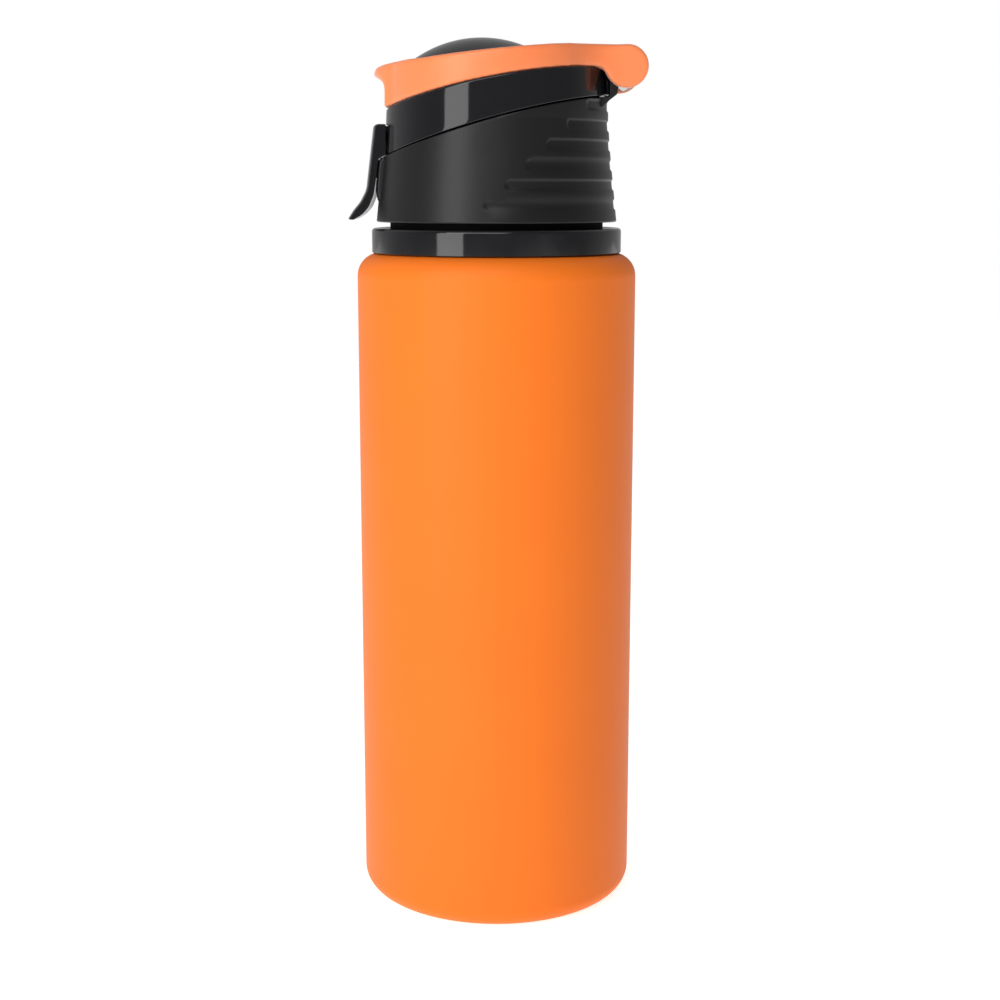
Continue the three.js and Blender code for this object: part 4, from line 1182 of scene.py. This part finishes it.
# %% [markdown]
# ## Pins, bushes and the latch spring
# Steel pins carry the two hinges and grey bushes line the handle's knuckles. The little spring beside the latch
# lug is wire wound on the pin, which is a path again, so a Geometry Nodes tree winds it: a spiral laid along
# the pin with a round wire swept along it.

# %% Pins and bushes
PIN_RADIUS = 1.5
BUSH_OUTER = PIN_BORE + 0.8
pin_half = HINGE_HALF - 1.1 - FIT
finish_piece(rod("hinge_rod", PIN_RADIUS, -pin_half, pin_half, hinge_x, hinge_z, STEEL, 0.3), "cap", "steel",
             "hinge_pin")
finish_piece(rod("latch_rod", 0.75, -6.4, 6.4, latch_x, latch_z, STEEL, 0.15), "lid", "steel", "latch_pin")
handle_inner = HINGE_HALF - HANDLE_KNUCKLE
for side, low, high in (("left", -pin_half, -handle_inner - FIT), ("right", handle_inner + FIT, pin_half)):
    bush = rod(f"bush_{side}", BUSH_OUTER, low, high, hinge_x, hinge_z, PLAIN, 0.2)
    carve(bush, rod("bore", PIN_BORE, low - 1, high + 1, hinge_x, hinge_z, PLAIN, 0.01))
    finish_piece(bush, "handle", "grey_plastic", f"handle_bush_{side}")
print("pins and bushes done, pin half length", round(pin_half, 2))

# %% Latch spring tree
WIRE = 0.17
COIL = {"Turns": 6.0, "Radius": (1.35 - WIRE) * MM, "Length": (2.8 - 2 * WIRE) * MM, "Wire": WIRE * MM,
        "X": latch_x * MM, "Y": (LUG_HALF + FIT + WIRE) * MM, "Z": latch_z * MM}


def spring_tree(material):
    tree, given, output = new_tree("latch_coil", list(COIL))
    spiral = step_node(tree, "GeometryNodeCurveSpiral", Resolution=40, Rotations=given["Turns"],
                       Start_Radius=given["Radius"], End_Radius=given["Radius"], Height=given["Length"])
    place = step_node(tree, "ShaderNodeCombineXYZ", X=given["X"], Y=given["Y"], Z=given["Z"])
    laid = step_node(tree, "GeometryNodeTransform", Geometry=spiral.outputs[0], Translation=place.outputs[0],
                     Rotation=(-math.pi / 2, 0, 0))
    wire = step_node(tree, "GeometryNodeCurvePrimitiveCircle", Resolution=12, Radius=given["Wire"])
    sweep = step_node(tree, "GeometryNodeCurveToMesh", Curve=laid.outputs[0], Profile_Curve=wire.outputs[0],
                      Fill_Caps=True)
    close_tree(tree, sweep.outputs[0], material, output[0])
    return tree


coil = grow(empty_piece("latch_coil"), spring_tree(STEEL), COIL)
smooth(coil)
finish_piece(coil, "lid", "steel", "latch_spring")
print("spring box", [round(d / MM, 2) for d in coil.dimensions])

# %% [markdown]
# ## Carry handle
# The handle is a thick, soft-looking ring whose top sweeps up from a thumb lip at the front to a barrel round
# the hinge. No single outline gives that: its side view and its plan are extruded and crossed, the opening for
# the dome and the room for the lid's arm are cut out, and the result is remeshed fine and relaxed. Relaxing
# rounds every edge by the same small amount, which is how such a moulding looks.

# %% Outlines of the handle
HANDLE_INSET = 0.4
NOSE_HALF = 11.0
NOSE_DROP = 6.3              # the thumb lip lies this far below the barrel's top
RELAX_STEPS = 34
FIRM_WEIGHT = 0.45           # how much the underside relaxes, so that it keeps its seat
VOXEL = 0.4


def bend(start, control, end, steps=12):
    """Points on a quadratic curve, without its first point."""
    points = []
    for step in range(1, steps + 1):
        t = step / steps
        points.append(tuple((1 - t) ** 2 * a + 2 * t * (1 - t) * b + t * t * c
                            for a, b, c in zip(start, control, end)))
    return points


def handle_side():
    ring_x = BAND_RADIUS - HANDLE_INSET
    top_back = hinge_z + KNUCKLE_RADIUS
    nose_x, nose_z = handle_low.x, top_back - NOSE_DROP
    first = (nose_x, nose_z)
    points = [first] + bend(first, (nose_x + 0.2, nose_z + 0.9), (nose_x + 1.6, nose_z + 1.35), 6)
    points += bend(points[-1], (nose_x + 6.0, nose_z + 2.4), (nose_x + 13, top_back - 3.9))
    line_end = (hinge_x - 19, top_back - 0.75)
    points.append(line_end)
    points += bend(line_end, (hinge_x - 12, top_back), (hinge_x - 2, hinge_z + KNUCKLE_RADIUS - 0.2))
    points += arc_points(hinge_x, hinge_z, KNUCKLE_RADIUS, 85, -150, 40)
    points += handle_fillet(0)[::-1]
    points += [(x, seat_at(x)) for x in np.linspace(CORNER_START - 1, -ring_x, 30)]
    foot = (-ring_x, nose_z - 3.9)
    points.append(foot)
    return points + bend(foot, (-ring_x - 0.2, nose_z - 1.9), (nose_x, nose_z - 0.9), 6)


def handle_plan():
    radius = BAND_RADIUS - HANDLE_INSET
    nose = (handle_low.x, 0)
    ring_end = arc_points(0, 0, radius, 157, 157, 1)[0]
    half = arc_points(0, 0, radius, 50, 157, 48) + bend(ring_end, (nose[0] + 0.4, NOSE_HALF * 0.6), nose, 16)
    tail_start = half[0]
    tail = [(hinge_x + KNUCKLE_RADIUS + 1, HINGE_HALF), (hinge_x - 1, HINGE_HALF)]
    tail += bend(tail[-1], (hinge_x - 8.5, HINGE_HALF), tail_start, 10)[:-1]
    outline = tail + half
    mirror = [(x, -y) for x, y in reversed(outline[:-1])]
    return outline + mirror


def carry_handle():
    low, high = seat_at(-BAND_RADIUS) - 4, hinge_z + 12
    piece = plate("carry_loop", handle_side(), -BAND_RADIUS - 1, BAND_RADIUS + 1, GRIP, 0.01)
    plan = handle_plan()
    carve(piece, lofted("plan", [[(x, y, low) for x, y in plan], [(x, y, high) for x, y in plan]], GRIP),
          "INTERSECT")
    carve(piece, disc("opening", handle_opening, low - 1, high + 1, GRIP, DOME_X, steps=160))
    tail_gap = rod("tail_gap", KNUCKLE_RADIUS + 0.8, -handle_inner, handle_inner, hinge_x, hinge_z, GRIP, 0.01)
    carve(piece, tail_gap)
    room = [(hinge_x - 2, low), (hinge_x + 12, low), (hinge_x + 12, high), (hinge_x - 2, high)]
    carve(piece, plate("room", room, -handle_inner, handle_inner, GRIP, 0.01))
    remesh = piece.modifiers.new("remesh", "REMESH")
    remesh.mode = "VOXEL"
    remesh.voxel_size = VOXEL * MM
    settle(piece)
    soft = piece.vertex_groups.new(name="soft")
    for point in piece.data.vertices:
        above = point.co.z / MM - seat_at(point.co.x / MM)
        soft.add([point.index], min(max((above - 0.6) / 2.4, FIRM_WEIGHT), 1), "REPLACE")
    relax = piece.modifiers.new("relax", "SMOOTH")
    relax.factor = 0.5
    relax.iterations = RELAX_STEPS
    relax.vertex_group = "soft"
    settle(piece)
    carve(piece, rod("socket", BUSH_OUTER + FIT, -pin_half - FIT, pin_half + FIT, hinge_x, hinge_z, GRIP, 0.01))
    clean(piece)
    return finish_piece(piece, "handle", "orange_grip", "carry_handle")


handle = carry_handle()
print("handle faces", len(handle.data.polygons), "box", [round(d / MM, 2) for d in handle.dimensions])
